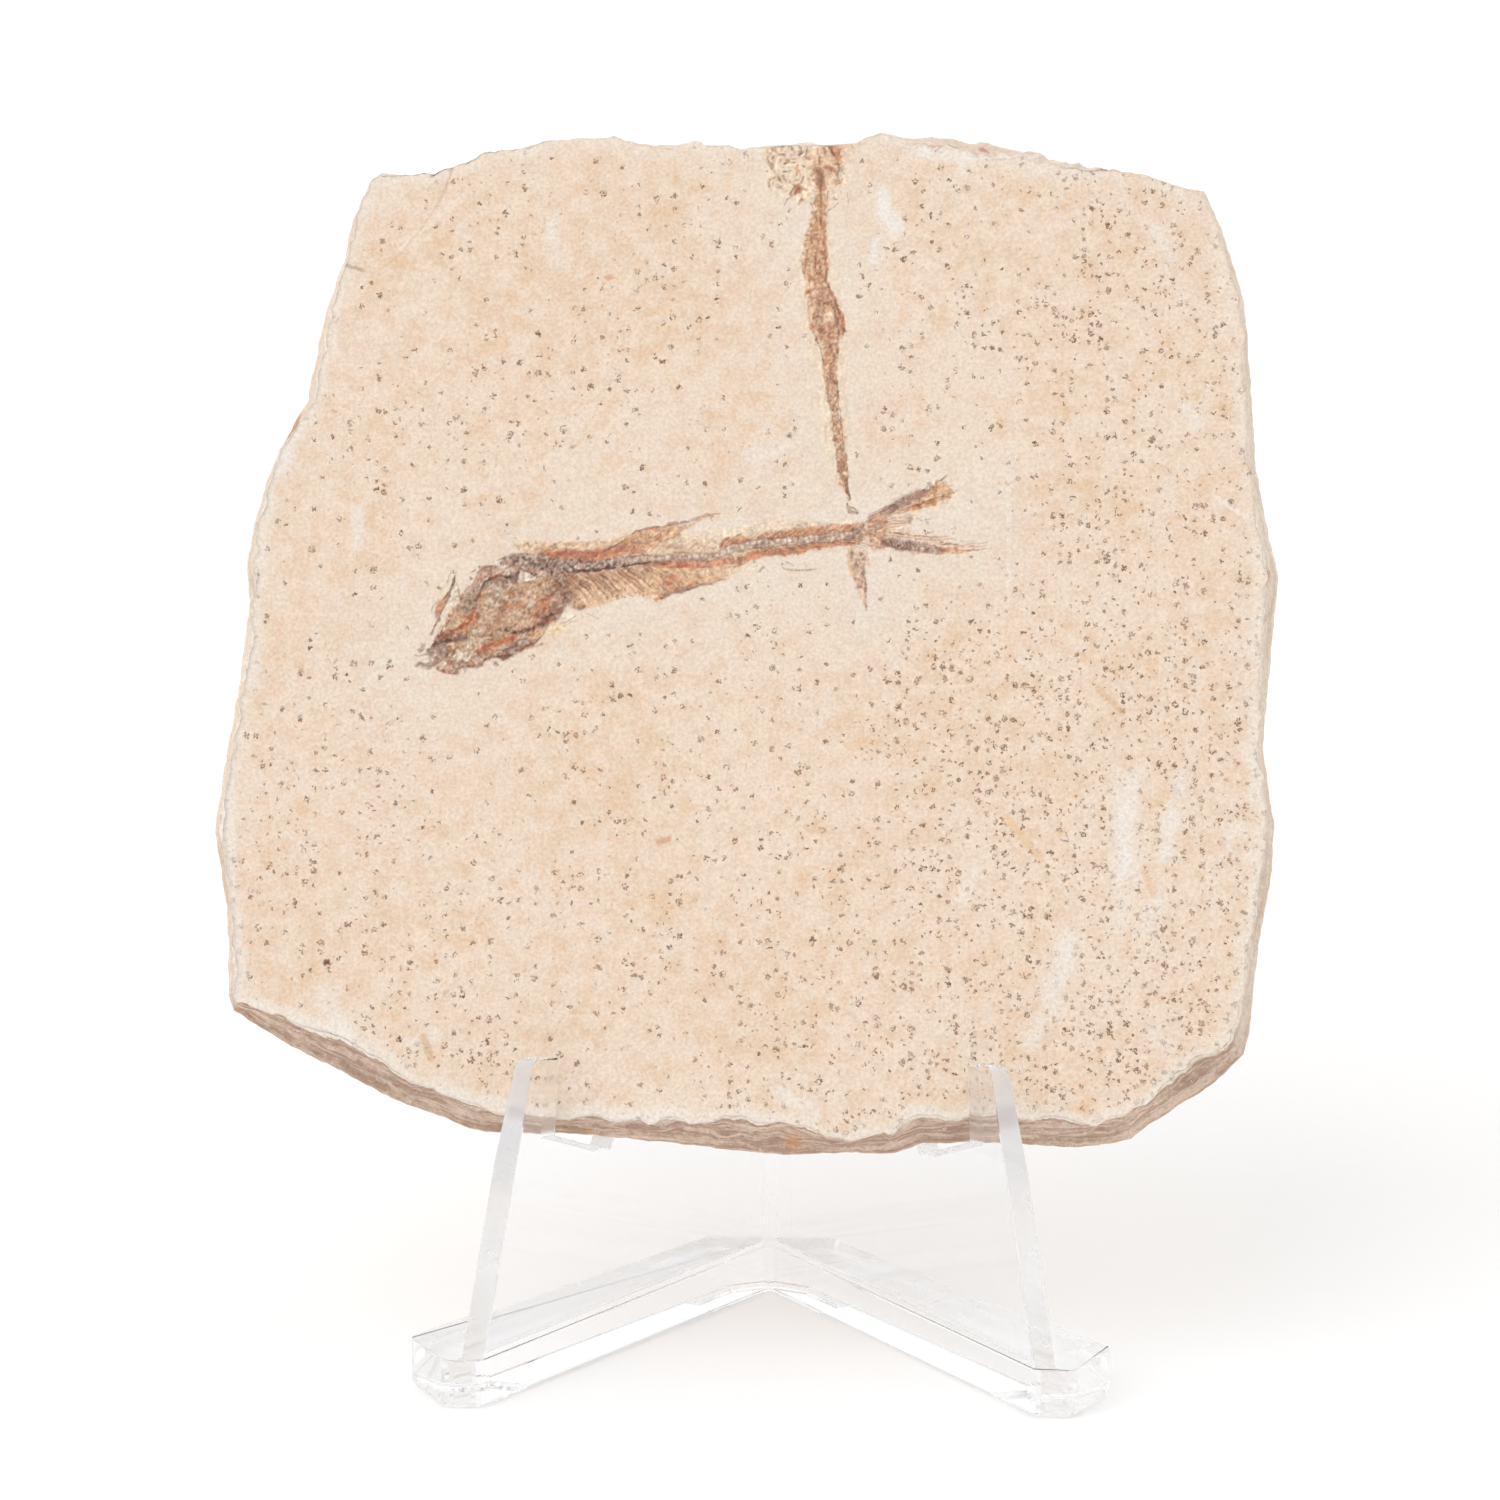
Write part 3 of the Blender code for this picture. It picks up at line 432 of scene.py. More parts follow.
TAN = (222, 186, 150)
PALE = (236, 214, 188)
CREAM = (240, 227, 209)
ORANGE = (216, 154, 104)
RUST = (192, 122, 86)
DEEP_RUST = (166, 92, 58)
BROWN = (146, 110, 94)
DARK = (104, 78, 70)
MAUVE = (158, 124, 112)
GREY = (176, 156, 145)


class Paint:
    """Colour, cover and height laid on a piece's points, one stroke over another."""

    def __init__(self, x, v):
        self.x = x + 0.18 * rough(x, v, 1.1, 121) + 0.11 * rough(x, v, 0.4, 131, 2)
        self.v = v + 0.18 * rough(x, v, 1.1, 141) + 0.11 * rough(x, v, 0.4, 151, 2)
        self.colour = np.tile(tone(*CREAM), (len(x), 1))
        self.cover = np.zeros(len(x))
        self.height = np.zeros(len(x))
        self.coarse = rough(x, v, 0.9, 101)
        self.fine = rough(x, v, 0.34, 111, 2)
        self.dice = np.random.default_rng(7)

    def near(self, line, reach):
        """Numbers of the points in a line's box, grown by reach."""
        line = np.array(line, dtype=float)
        low = line.min(axis=0) - reach
        high = line.max(axis=0) + reach
        close = (self.x > low[0]) & (self.x < high[0]) & (self.v > low[1]) & (self.v < high[1])
        return np.flatnonzero(close)

    def lay(self, near, amount, colour, height):
        """Put a colour over what is there, as much as amount says."""
        cover = amount + (1.0 - amount) * self.cover[near]
        share = (amount / np.maximum(cover, 1e-6))[:, None]
        shade = 1.0 + 0.18 * self.fine[near] + 0.12 * self.coarse[near]
        laid = tone(*colour) * shade[:, None]
        self.colour[near] = share * laid + (1.0 - share) * self.colour[near]
        self.cover[near] = cover
        self.height[near] += height * amount

    def patch(self, outline, colour, strength=0.8, height=0.0, soft=0.35, ragged=0.35, broken=0.0):
        """Colour inside an outline, with a soft, ragged edge and gaps where it is broken."""
        near = self.near(outline, soft + ragged)
        x, v = self.x[near], self.v[near]
        apart, _ = line_distance(x, v, list(outline) + [outline[0]])
        deep = np.where(inside(x, v, outline), apart, -apart)
        deep += ragged * (0.7 * self.coarse[near] + 0.5 * self.fine[near])
        amount = strength * ease(0.5 + deep / soft)
        amount *= 1.0 - broken * ease(0.5 + 2.2 * self.fine[near] + 1.2 * self.coarse[near])
        self.lay(near, amount, colour, height)

    def stroke(self, line, width, colour, strength=0.8, height=0.0, ragged=0.3, broken=0.38):
        """Colour along a line. Width is one number or one for each of the line's points."""
        width = np.array(width, dtype=float) * np.ones(len(line))
        near = self.near(line, width.max() + 0.3)
        apart, reached = line_distance(self.x[near], self.v[near], line)
        steps = np.hypot(*np.diff(np.array(line, dtype=float), axis=0).T)
        half = np.interp(reached, np.append(0.0, np.cumsum(steps)), width) / 2.0
        jag = 0.6 * self.coarse[near] + 0.6 * self.fine[near]
        deep = half * (1.0 + 2.0 * ragged * jag) - apart
        amount = strength * ease(0.5 + deep / np.maximum(0.12, 0.6 * half))
        amount *= 1.0 - broken * ease(0.5 + 2.2 * self.fine[near] + 1.2 * self.coarse[near])
        self.lay(near, amount, colour, height)

    def comb(self, roots, tips, count, width, colour, strength=0.7, height=0.0, bend=0.0):
        """Thin lines from places along one line to places along another, none quite like the next."""
        roots, tips = np.array(roots, dtype=float), np.array(tips, dtype=float)
        for number in range(count):
            share = (number + self.dice.uniform(0.2, 0.8)) / count
            ends = []
            for line in (roots, tips):
                places = np.linspace(0.0, 1.0, len(line))
                ends.append(np.array([np.interp(share, places, line[:, k]) for k in (0, 1)]))
            reach = self.dice.uniform(0.72, 1.04)
            side = ends[1] - ends[0]
            middle = ends[0] + 0.5 * reach * side + bend * np.array([-side[1], side[0]])
            tip = ends[0] + reach * side
            thick = width * self.dice.uniform(0.7, 1.3)
            full = strength * self.dice.uniform(0.6, 1.0)
            self.stroke([ends[0], middle, tip], [thick, 0.9 * thick, 0.4 * thick], colour, full, height)

    def flecks(self, places, size, colour, strength=0.75, height=0.0):
        """Small irregular spots."""
        for x, v in places:
            turn = self.dice.uniform(0.0, math.pi)
            reach = 0.35 * size * np.array([math.cos(turn), math.sin(turn)])
            ends = [np.array([x, v]) - reach, np.array([x, v]) + reach]
            self.stroke(ends, size, colour, strength, height, 0.5)

    def crumbs(self, outline, spacing, size, colour, strength=0.6, height=0.0):
        """Small spots strewn over an outline."""
        outline = np.array(outline, dtype=float)
        low, high = outline.min(axis=0), outline.max(axis=0)
        count = int((high - low).prod() / spacing ** 2)
        spots = self.dice.uniform(low, high, (count, 2))
        spots = spots[inside(spots[:, 0], spots[:, 1], outline)]
        for spot in spots:
            wide = size * self.dice.uniform(0.6, 1.4)
            self.flecks([spot], wide, colour, strength * self.dice.uniform(0.5, 1.0), height)

    def spine(self, line, half, pitch, height):
        """A ridge of backbones, pinched between one bone and the next: height * root of (1 - (distance /
    half width) squared), times 0.62 to 1 along each bone as the root of a sine."""
        near = self.near(line, half + 0.4)
        apart, reached = line_distance(self.x[near], self.v[near], line)
        steps = np.hypot(*np.diff(np.array(line, dtype=float), axis=0).T)
        total = steps.sum()
        reached = reached + 0.16 * rough(reached, 0.0 * reached + 3.0, 1.3, 161)
        bone = reached / np.interp(reached, [0.0, total], pitch)
        waist = np.abs(np.sin(math.pi * bone))
        across = np.clip(1.0 - (apart / (half * (0.75 + 0.25 * waist))) ** 2, 0.0, 1.0)
        self.height[near] += height * np.sqrt(across) * (0.62 + 0.38 * np.sqrt(waist))
        return near, apart, waist

    def weather(self):
        """Break the flat colours up with grain along each fish, thin dark cracks and worn places.
        Grain is noise stretched along a slope, and a crack is wherever other noise crosses zero."""
        x, v = self.x, self.v
        hanging = (x > 0.0) & ((v > 77.5) | ((v < 72.3) & (x > 11.5)))
        ribs = (x < -4.0) & (v < 68.9 + 0.06 * (x + 16.0))
        slope = np.select([hanging, x < -21.5, ribs, x > 14.0], [1.45, 0.55, -0.72, 0.0], 0.14)
        along = x * np.cos(slope) + v * np.sin(slope)
        across = v * np.cos(slope) - x * np.sin(slope)
        grain = rough(along / 2.8, across, 0.36, 401)
        grit = rough(x, v, 0.26, 411, 2)
        light = 1.05 + 0.46 * grain + 0.42 * grit
        self.colour *= np.maximum(light, 0.2)[:, None] ** np.array([0.75, 1.0, 1.1])
        grey = self.colour @ np.array([0.3, 0.5, 0.2])
        dull = 0.14 * ease(0.5 + 1.3 * rough(x, v, 0.7, 421))[:, None]
        self.colour += dull * (grey[:, None] * np.array([1.05, 0.98, 0.95]) - self.colour)
        inked = ease(1.8 * self.cover - 0.7)
        crack = ease(1.2 - np.abs(rough(x, v, 1.3, 431)) / 0.055) * ease(0.5 + 2.0 * rough(x, v, 1.9, 441))
        crack = np.maximum(crack, 0.8 * ease(3.2 * rough(along / 2.2, across, 0.5, 451) - 1.1))
        crack = (0.50 * crack * inked)[:, None]
        self.colour += crack * (tone(112, 78, 64) - self.colour)
        worn = ease(3.0 * rough(along / 1.6, across, 0.45, 461) - 1.1) * ease(2.2 - 2.0 * self.cover)
        self.cover *= 1.0 - 0.55 * worn
        self.height -= 0.05 * crack[:, 0] - 0.03 * grain * self.cover


def paint_head(paint):
    """The skull, its jaws and gill cover: broken plates of brown and rusty bone."""
    patch, stroke, flecks, crumbs = paint.patch, paint.stroke, paint.flecks, paint.crumbs
    head = [
        (-37.2, 59.9), (-36.7, 60.9), (-36.2, 61.8), (-35.4, 63.3), (-35.0, 64.1), (-34.3, 64.6),
        (-33.6, 66.3), (-32.6, 67.3), (-31.9, 68.8), (-31.3, 69.2), (-30.6, 69.4), (-29.9, 69.3),
        (-29.0, 70.3), (-27.5, 70.8), (-25.5, 70.8), (-22.6, 70.3), (-22.0, 68.7), (-21.3, 66.5),
        (-21.3, 65.3), (-21.7, 64.0), (-22.6, 63.0), (-23.4, 62.4), (-24.2, 60.8), (-25.6, 59.6),
        (-26.8, 59.0), (-27.6, 58.4), (-28.6, 58.0), (-29.8, 58.1), (-31.0, 57.7), (-32.0, 57.2),
        (-33.9, 56.9), (-34.3, 56.3), (-34.9, 56.0), (-35.6, 56.4), (-36.6, 56.9), (-36.9, 57.6),
    ]
    patch(head, (216, 180, 148), 0.78, 0.3, 0.5, 0.3, 0.15)
    patch([
        (-36.0, 60.6), (-33.0, 66.0), (-29.0, 69.0), (-23.0, 68.4), (-22.0, 65.0), (-25.0, 61.5),
        (-29.0, 59.3), (-33.0, 58.5),
    ], TAN, 0.5, 0.14, 1.6, 0.6)

    # Middle of the head: tan, with darker and paler grain
    patch([(-33.0, 61.0), (-32.0, 64.5), (-28.0, 66.0), (-25.3, 65.5), (-26.0, 62.0), (-29.5, 60.6)],
          (204, 160, 126), 0.7, 0.0, 1.0, 0.6)
    crumbs(head, 0.44, 0.22, (124, 88, 72))
    crumbs(head, 0.74, 0.24, PALE, 0.5, 0.02)
    crumbs(head, 0.7, 0.3, RUST, 0.5)
    stroke([(-32.3, 61.9), (-31.0, 62.2), (-29.8, 62.0)], 0.35, RUST, 0.5)
    stroke([(-29.8, 62.6), (-28.8, 63.2), (-28.0, 63.8)], 0.28, RUST, 0.6)
    stroke([(-31.8, 60.9), (-30.0, 60.9), (-28.6, 61.6), (-27.2, 62.4)], 0.3, BROWN, 0.35)
    stroke([(-32.6, 61.5), (-31.2, 61.7), (-30.2, 61.3)], 0.22, GREY, 0.5)

    # Gill cover and the dark band behind it
    gill = [
        (-25.7, 62.2), (-25.6, 63.4), (-25.0, 65.2), (-23.9, 66.4), (-22.4, 67.3), (-21.6, 66.3),
        (-21.3, 65.2), (-21.7, 64.2), (-22.7, 63.0), (-23.6, 62.6),
    ]
    patch(gill, (196, 140, 108), 0.85, 0.1, 0.5, 0.3)
    patch([(-24.9, 63.9), (-24.4, 65.6), (-23.4, 65.6), (-23.2, 64.4), (-24.0, 63.7)], RUST, 0.75, 0.04, 0.7)
    stroke([(-25.5, 62.5), (-25.4, 63.3), (-25.2, 63.9)], 0.5, ORANGE)
    patch([(-23.2, 63.2), (-22.6, 65.0), (-22.6, 66.8), (-21.5, 66.0), (-21.4, 64.9), (-22.3, 63.3)], MAUVE,
          0.7, 0.0, 0.5, 0.4)
    flecks([(-22.2, 65.5), (-22.4, 65.7)], 0.3, (214, 160, 140), 0.8)
    stroke([(-23.3, 68.6), (-22.8, 68.0), (-22.4, 67.1), (-21.9, 66.2), (-21.3, 65.4)],
           [0.9, 1.0, 0.9, 0.9, 0.6], (146, 104, 86), 0.7, 0.08, 0.45)
    stroke([(-23.4, 68.4), (-22.7, 68.1), (-22.5, 67.8)], 0.35, DARK, 0.7)
    stroke([(-24.6, 66.1), (-23.5, 66.5), (-22.6, 67.0)], 0.35, BROWN, 0.6)
    stroke([(-22.0, 64.4), (-22.2, 63.7), (-22.4, 63.2)], 0.4, MAUVE, 0.6)

    # Cheek, forehead and the ring round the eye
    patch([
        (-34.9, 63.2), (-34.0, 64.9), (-33.2, 66.6), (-32.0, 67.6), (-31.2, 66.0), (-31.6, 63.9),
        (-33.0, 63.2),
    ], (176, 148, 130), 0.7, 0.05, 0.6, 0.5, 0.2)
    flecks([(-33.0, 65.8), (-33.4, 64.8), (-32.9, 64.9), (-33.3, 64.1), (-32.0, 66.8)], 0.34, DARK, 0.7)
    patch([(-31.9, 68.9), (-30.6, 69.4), (-29.6, 69.0), (-29.6, 68.2), (-31.0, 67.8), (-32.2, 67.3)],
          (186, 146, 126), 0.8, 0.05, 0.35, 0.3)
    stroke([(-32.4, 67.6), (-31.9, 68.8), (-31.3, 69.2), (-30.6, 69.35), (-29.9, 69.2)], 0.2, BROWN, 0.75)
    stroke([(-30.9, 69.1), (-30.2, 69.25), (-29.7, 68.9)], 0.3, DARK, 0.55)
    stroke([(-30.4, 68.9), (-29.4, 68.5)], 0.35, (226, 190, 164), 0.7)
    patch([
        (-31.6, 66.8), (-30.6, 68.0), (-28.9, 68.1), (-27.4, 68.7), (-26.9, 68.4), (-27.4, 67.3),
        (-28.9, 67.1), (-30.5, 66.9), (-31.1, 66.3),
    ], (138, 108, 98), 0.75, 0.06, 0.3, 0.3)
    brow = [
        (-32.2, 65.1), (-31.8, 65.8), (-31.6, 66.5), (-31.2, 67.2), (-30.8, 67.6), (-30.2, 67.9),
        (-29.5, 68.0), (-28.6, 67.9), (-27.9, 68.0),
    ]
    stroke(brow, 0.36, (110, 72, 58), 0.8, 0.06)
    stroke([(-30.2, 67.95), (-29.2, 67.95)], 0.22, DEEP_RUST, 0.7)
    stroke([(-31.6, 64.9), (-31.5, 65.5), (-31.4, 66.2)], 0.45, ORANGE, 0.75)
    eye = [
        (-30.9, 66.2), (-30.3, 67.0), (-29.2, 67.3), (-28.3, 66.8), (-28.2, 65.7), (-29.0, 64.9),
        (-30.0, 64.2), (-30.7, 64.6),
    ]
    patch(eye, (208, 184, 162), 0.6, -0.02, 0.6, 0.5, 0.3)
    stroke([(-30.9, 65.6), (-30.4, 66.6), (-29.5, 67.2), (-28.5, 67.1), (-28.0, 66.4), (-28.4, 65.5)], 0.35,
           (168, 138, 120), 0.4, 0.07)
    flecks([
        (-28.6, 66.7), (-28.3, 66.4), (-29.0, 67.2), (-30.4, 65.9), (-29.9, 64.9), (-29.2, 65.1),
        (-30.6, 64.6), (-29.7, 66.2),
    ], 0.36, (122, 102, 94), 0.7)
    flecks([(-29.2, 66.5), (-29.8, 65.7), (-29.4, 64.6), (-30.3, 64.9)], 0.42, (232, 216, 198), 0.6)

    # Behind the eye: tan and orange plates, and the two bright gaps
    patch([
        (-28.3, 66.9), (-26.3, 67.1), (-24.7, 67.7), (-23.6, 68.4), (-23.4, 67.3), (-24.8, 66.5),
        (-26.5, 66.2), (-28.3, 66.1),
    ], (214, 160, 122), 0.75, 0.03, 0.4, 0.3)
    stroke([(-28.8, 66.0), (-27.6, 66.1), (-26.5, 66.0)], 0.26, DEEP_RUST, 0.65)
    stroke([(-26.6, 66.8), (-26.1, 66.9)], 0.4, ORANGE, 0.7)
    patch([(-29.0, 64.9), (-28.3, 64.9), (-27.4, 64.6), (-27.0, 64.2), (-28.0, 64.1), (-28.8, 64.3)], RUST,
          0.75, 0.03, 0.3, 0.25)
    patch([
        (-26.9, 68.8), (-26.2, 68.75), (-25.2, 68.2), (-25.0, 68.0), (-25.9, 67.5), (-26.8, 67.2),
        (-27.5, 67.4), (-27.0, 67.8),
    ], (244, 230, 214), 1.0, -0.25, 0.16, 0.14)
    stroke([(-27.3, 69.0), (-26.3, 68.9), (-25.7, 68.6)], 0.2, DARK)
    stroke([(-25.6, 68.5), (-25.0, 68.3)], 0.35, (84, 60, 52), 0.85, 0.04)
    stroke([(-27.6, 67.5), (-27.3, 67.2), (-26.7, 67.1), (-25.8, 67.4), (-24.9, 67.9)], 0.16, BROWN, 0.6)
    patch([(-28.9, 68.2), (-28.8, 68.9), (-28.3, 69.0), (-28.2, 68.5), (-28.5, 68.0)], CREAM, 0.95, -0.2,
          0.15, 0.1)
    stroke([(-30.0, 69.7), (-29.4, 69.4), (-28.7, 69.1)], 0.5, CREAM, 0.85, -0.1)
    flecks([(-27.15, 68.4), (-27.2, 68.45)], 0.4, DARK, 0.8)
    patch([(-28.3, 68.2), (-27.6, 68.9), (-27.2, 69.0), (-27.4, 68.2)], (150, 126, 122), 0.7, 0.0, 0.3)
    patch([(-28.4, 69.0), (-28.1, 70.2), (-27.2, 70.6), (-26.9, 69.9), (-27.6, 69.2)], (178, 116, 90), 0.8,
          0.06, 0.3, 0.3)
    stroke([(-30.3, 69.8), (-29.0, 70.3), (-28.0, 70.5), (-27.0, 70.7), (-26.0, 70.8)],
           [0.12, 0.35, 0.4, 0.35, 0.2], (156, 124, 108), 0.75, 0.06)

    # Snout and upper jaw
    patch([
        (-35.0, 60.4), (-34.2, 61.5), (-33.2, 62.8), (-32.1, 64.4), (-31.5, 63.2), (-32.6, 61.9),
        (-33.4, 60.8), (-34.2, 60.2),
    ], (196, 132, 94), 0.85, 0.08, 0.4)
    cheek = [(-36.4, 60.7), (-35.4, 61.1), (-34.3, 61.5), (-33.6, 62.3), (-32.9, 63.0), (-32.3, 64.0)]
    stroke(cheek, 0.7, (178, 98, 58), 0.85, 0.06)
    stroke([(-32.4, 62.4), (-32.2, 63.2), (-32.4, 64.0)], 0.5, (206, 128, 76))
    stroke([(-34.9, 62.2), (-33.8, 62.6)], 0.7, (220, 172, 132))
    stroke([(-35.3, 63.4), (-34.4, 63.6), (-33.5, 63.4)], 0.55, (212, 150, 104), 0.8, 0.04)
    stroke([(-33.6, 63.4), (-32.9, 63.0), (-32.6, 62.6)], 0.3, DEEP_RUST, 0.7)
    stroke([(-36.3, 61.2), (-36.0, 62.3), (-35.4, 63.3)], 0.26, (140, 108, 92), 0.85, 0.06)
    stroke([(-35.2, 62.7), (-34.9, 62.5)], 0.22, BROWN, 0.5)
    patch([
        (-36.7, 60.9), (-35.4, 61.0), (-33.4, 60.9), (-32.8, 60.4), (-34.4, 60.0), (-36.4, 60.0),
        (-37.2, 59.8),
    ], (134, 98, 84), 0.75, 0.06, 0.3)
    lip = [(-37.2, 59.8), (-36.2, 60.1), (-35.0, 60.2), (-34.0, 60.5), (-33.3, 60.7)]
    stroke(lip, 0.35, DARK, 0.7, 0.03)
    flecks([(-35.0, 60.5), (-34.7, 60.4)], 0.4, GREY, 0.8)
    stroke([(-36.6, 60.7), (-36.0, 60.9), (-35.4, 61.0)], 0.3, (140, 70, 50))

    # Mouth: the dark front of the jaws with a pale gap behind
    patch([
        (-37.2, 59.9), (-36.0, 60.0), (-35.3, 59.4), (-35.4, 58.6), (-34.8, 58.0), (-35.6, 57.6),
        (-36.8, 58.0), (-37.3, 58.8),
    ], (164, 126, 108), 0.82, 0.12, 0.35, 0.5, 0.25)
    patch([(-36.8, 59.4), (-36.0, 59.5), (-35.8, 58.7), (-36.6, 58.5)], (184, 164, 154), 0.5, 0.0, 0.4)
    crumbs([(-37.2, 60.0), (-35.2, 60.0), (-34.8, 57.8), (-37.2, 58.0)], 0.5, 0.24, DARK)
    patch([(-38.2, 59.5), (-36.9, 59.6), (-36.5, 58.2), (-37.0, 57.1), (-38.0, 57.2), (-37.6, 58.4)],
          (172, 138, 118), 0.7, 0.05, 0.4, 0.8, 0.3)
    stroke([(-38.8, 59.1), (-38.3, 59.4), (-37.9, 59.2), (-37.3, 59.0)], [0.6, 1.0, 0.8, 0.9], (140, 112, 98),
           0.8, 0.08, 0.7)
    stroke([(-39.2, 58.45), (-38.6, 58.5), (-38.0, 58.6), (-37.4, 58.3)], [0.15, 0.2, 0.3, 0.3], BROWN, 0.7)
    stroke([(-39.0, 57.3), (-38.6, 57.5), (-38.3, 57.4)], [0.4, 0.8, 0.6], (138, 110, 96), 0.8, 0.06, 0.7)
    stroke([(-38.2, 57.3), (-37.4, 57.3), (-36.9, 57.6), (-36.3, 57.9)], 0.6, (156, 124, 104), 0.75, 0.03,
           0.7)
    stroke([(-35.3, 59.55), (-34.4, 59.7), (-33.6, 59.4)], 0.55, (232, 184, 138), 0.85)
    stroke([(-35.3, 59.2), (-34.2, 59.3)], 0.2, ORANGE, 0.7)
    patch([(-34.8, 58.5), (-34.1, 59.0), (-32.6, 58.8), (-32.6, 58.1), (-33.8, 57.9), (-34.7, 58.1)],
          (238, 222, 200), 0.9, -0.15, 0.3, 0.2)
    flecks([(-33.7, 58.4), (-33.3, 58.6)], 0.25, GREY, 0.6)
    patch([(-33.4, 60.2), (-31.8, 60.2), (-32.2, 58.9), (-33.2, 59.3)], (208, 182, 156), 0.6, 0.0, 0.4)
    stroke([(-32.9, 60.1), (-31.9, 59.4), (-31.7, 58.9)], 0.3, BROWN, 0.5)

    # Lower jaw
    patch([
        (-35.8, 57.8), (-34.6, 57.8), (-33.2, 57.6), (-32.0, 57.9), (-31.2, 57.7), (-32.0, 57.1),
        (-33.9, 56.9), (-34.3, 56.3), (-34.9, 56.0), (-35.8, 56.5), (-36.4, 57.0),
    ], (186, 144, 120), 0.8, 0.1, 0.35, 0.5, 0.3)
    chin = [(-36.0, 57.8), (-31.0, 58.0), (-31.5, 57.0), (-34.8, 56.0)]
    crumbs(chin, 0.42, 0.24, (110, 76, 64), 0.65)
    crumbs(chin, 0.6, 0.26, (226, 200, 178))
    stroke([(-36.6, 57.3), (-35.9, 57.1), (-35.6, 57.5)], 0.35, (236, 208, 176))
    stroke([(-36.5, 56.8), (-35.6, 56.5), (-34.9, 56.2)], 0.35, (168, 116, 94), 0.7)
    stroke([(-32.9, 57.2), (-32.0, 57.3), (-31.1, 57.9), (-30.2, 58.3), (-29.3, 58.4)],
           [0.4, 0.5, 0.5, 0.4, 0.3], (134, 100, 86), 0.8, 0.06)
    patch([
        (-32.3, 59.2), (-31.0, 60.2), (-29.6, 60.5), (-28.0, 61.2), (-26.6, 61.7), (-26.4, 61.2),
        (-27.8, 60.3), (-29.3, 59.5), (-30.5, 58.7), (-31.5, 58.4),
    ], (200, 132, 94), 0.9, 0.1, 0.35, 0.3)
    jaw = [(-31.5, 59.0), (-30.7, 59.4), (-29.7, 59.9), (-28.4, 60.4), (-27.4, 60.8)]
    stroke(jaw, [0.7, 0.8, 0.6, 0.5, 0.3], (196, 108, 66), 0.75, 0.03)
    stroke([(-32.2, 59.3), (-31.7, 58.8), (-31.3, 58.4)], 0.35, (118, 80, 66), 0.75)
    stroke([(-31.4, 60.1), (-30.4, 60.4), (-29.6, 60.5)], 0.3, (132, 94, 76), 0.6)
    patch([
        (-29.7, 58.2), (-28.9, 59.2), (-27.8, 60.1), (-26.4, 60.6), (-24.7, 60.5), (-25.4, 59.7),
        (-26.8, 59.1), (-27.8, 58.4), (-28.8, 58.1),
    ], (142, 108, 96), 0.9, 0.12, 0.3, 0.3)
    stroke([(-29.4, 58.3), (-28.0, 58.6), (-27.0, 59.1), (-26.0, 59.8)], [0.35, 0.5, 0.4, 0.3], (96, 66, 58),
           0.7, 0.04)
    stroke([(-29.6, 59.1), (-28.6, 59.2), (-27.8, 59.5), (-27.0, 60.3), (-26.2, 60.6)], 0.25, (112, 74, 62),
           0.65)
    stroke([(-29.4, 58.7), (-28.7, 58.9)], 0.3, (226, 178, 150), 0.85, 0.03)
    flecks([(-29.2, 58.8), (-28.4, 59.5), (-27.6, 58.9)], 0.24, (232, 206, 190), 0.8)
    crumbs([(-29.0, 58.4), (-25.0, 60.4), (-25.8, 61.6), (-29.4, 59.6)], 0.5, 0.24, (206, 176, 160))
    throat = [
        (-28.4, 61.6), (-27.4, 61.3), (-26.2, 61.6), (-25.2, 61.9), (-24.4, 62.4), (-23.7, 63.2),
        (-23.1, 63.6),
    ]
    stroke(throat, 0.52, (112, 76, 66), 0.8, 0.08)
    stroke([(-25.8, 61.9), (-24.8, 62.2), (-24.2, 62.7)], 0.28, (72, 44, 38), 0.6)
    patch([(-26.0, 61.4), (-25.2, 61.7), (-24.4, 61.7), (-24.2, 61.2), (-24.9, 60.6), (-25.8, 60.7)],
          (224, 172, 118), 0.75, 0.03, 0.5, 0.5)
    stroke([(-25.3, 61.7), (-24.7, 61.6)], 0.35, (196, 112, 66), 0.7)
    stroke([(-25.9, 60.4), (-25.2, 60.3), (-24.5, 60.7), (-24.1, 61.4)], 0.25, (140, 96, 74), 0.6)
    stroke([(-26.4, 59.3), (-25.4, 59.6), (-24.6, 59.9), (-24.1, 60.1)], [0.2, 0.25, 0.35, 0.3],
           (196, 160, 118), 0.65)
    flecks([(-24.3, 60.0)], 0.26, BROWN, 0.6)
    stroke([(-24.3, 62.1), (-23.6, 62.8), (-22.7, 63.1)], 0.3, (124, 84, 72), 0.6)

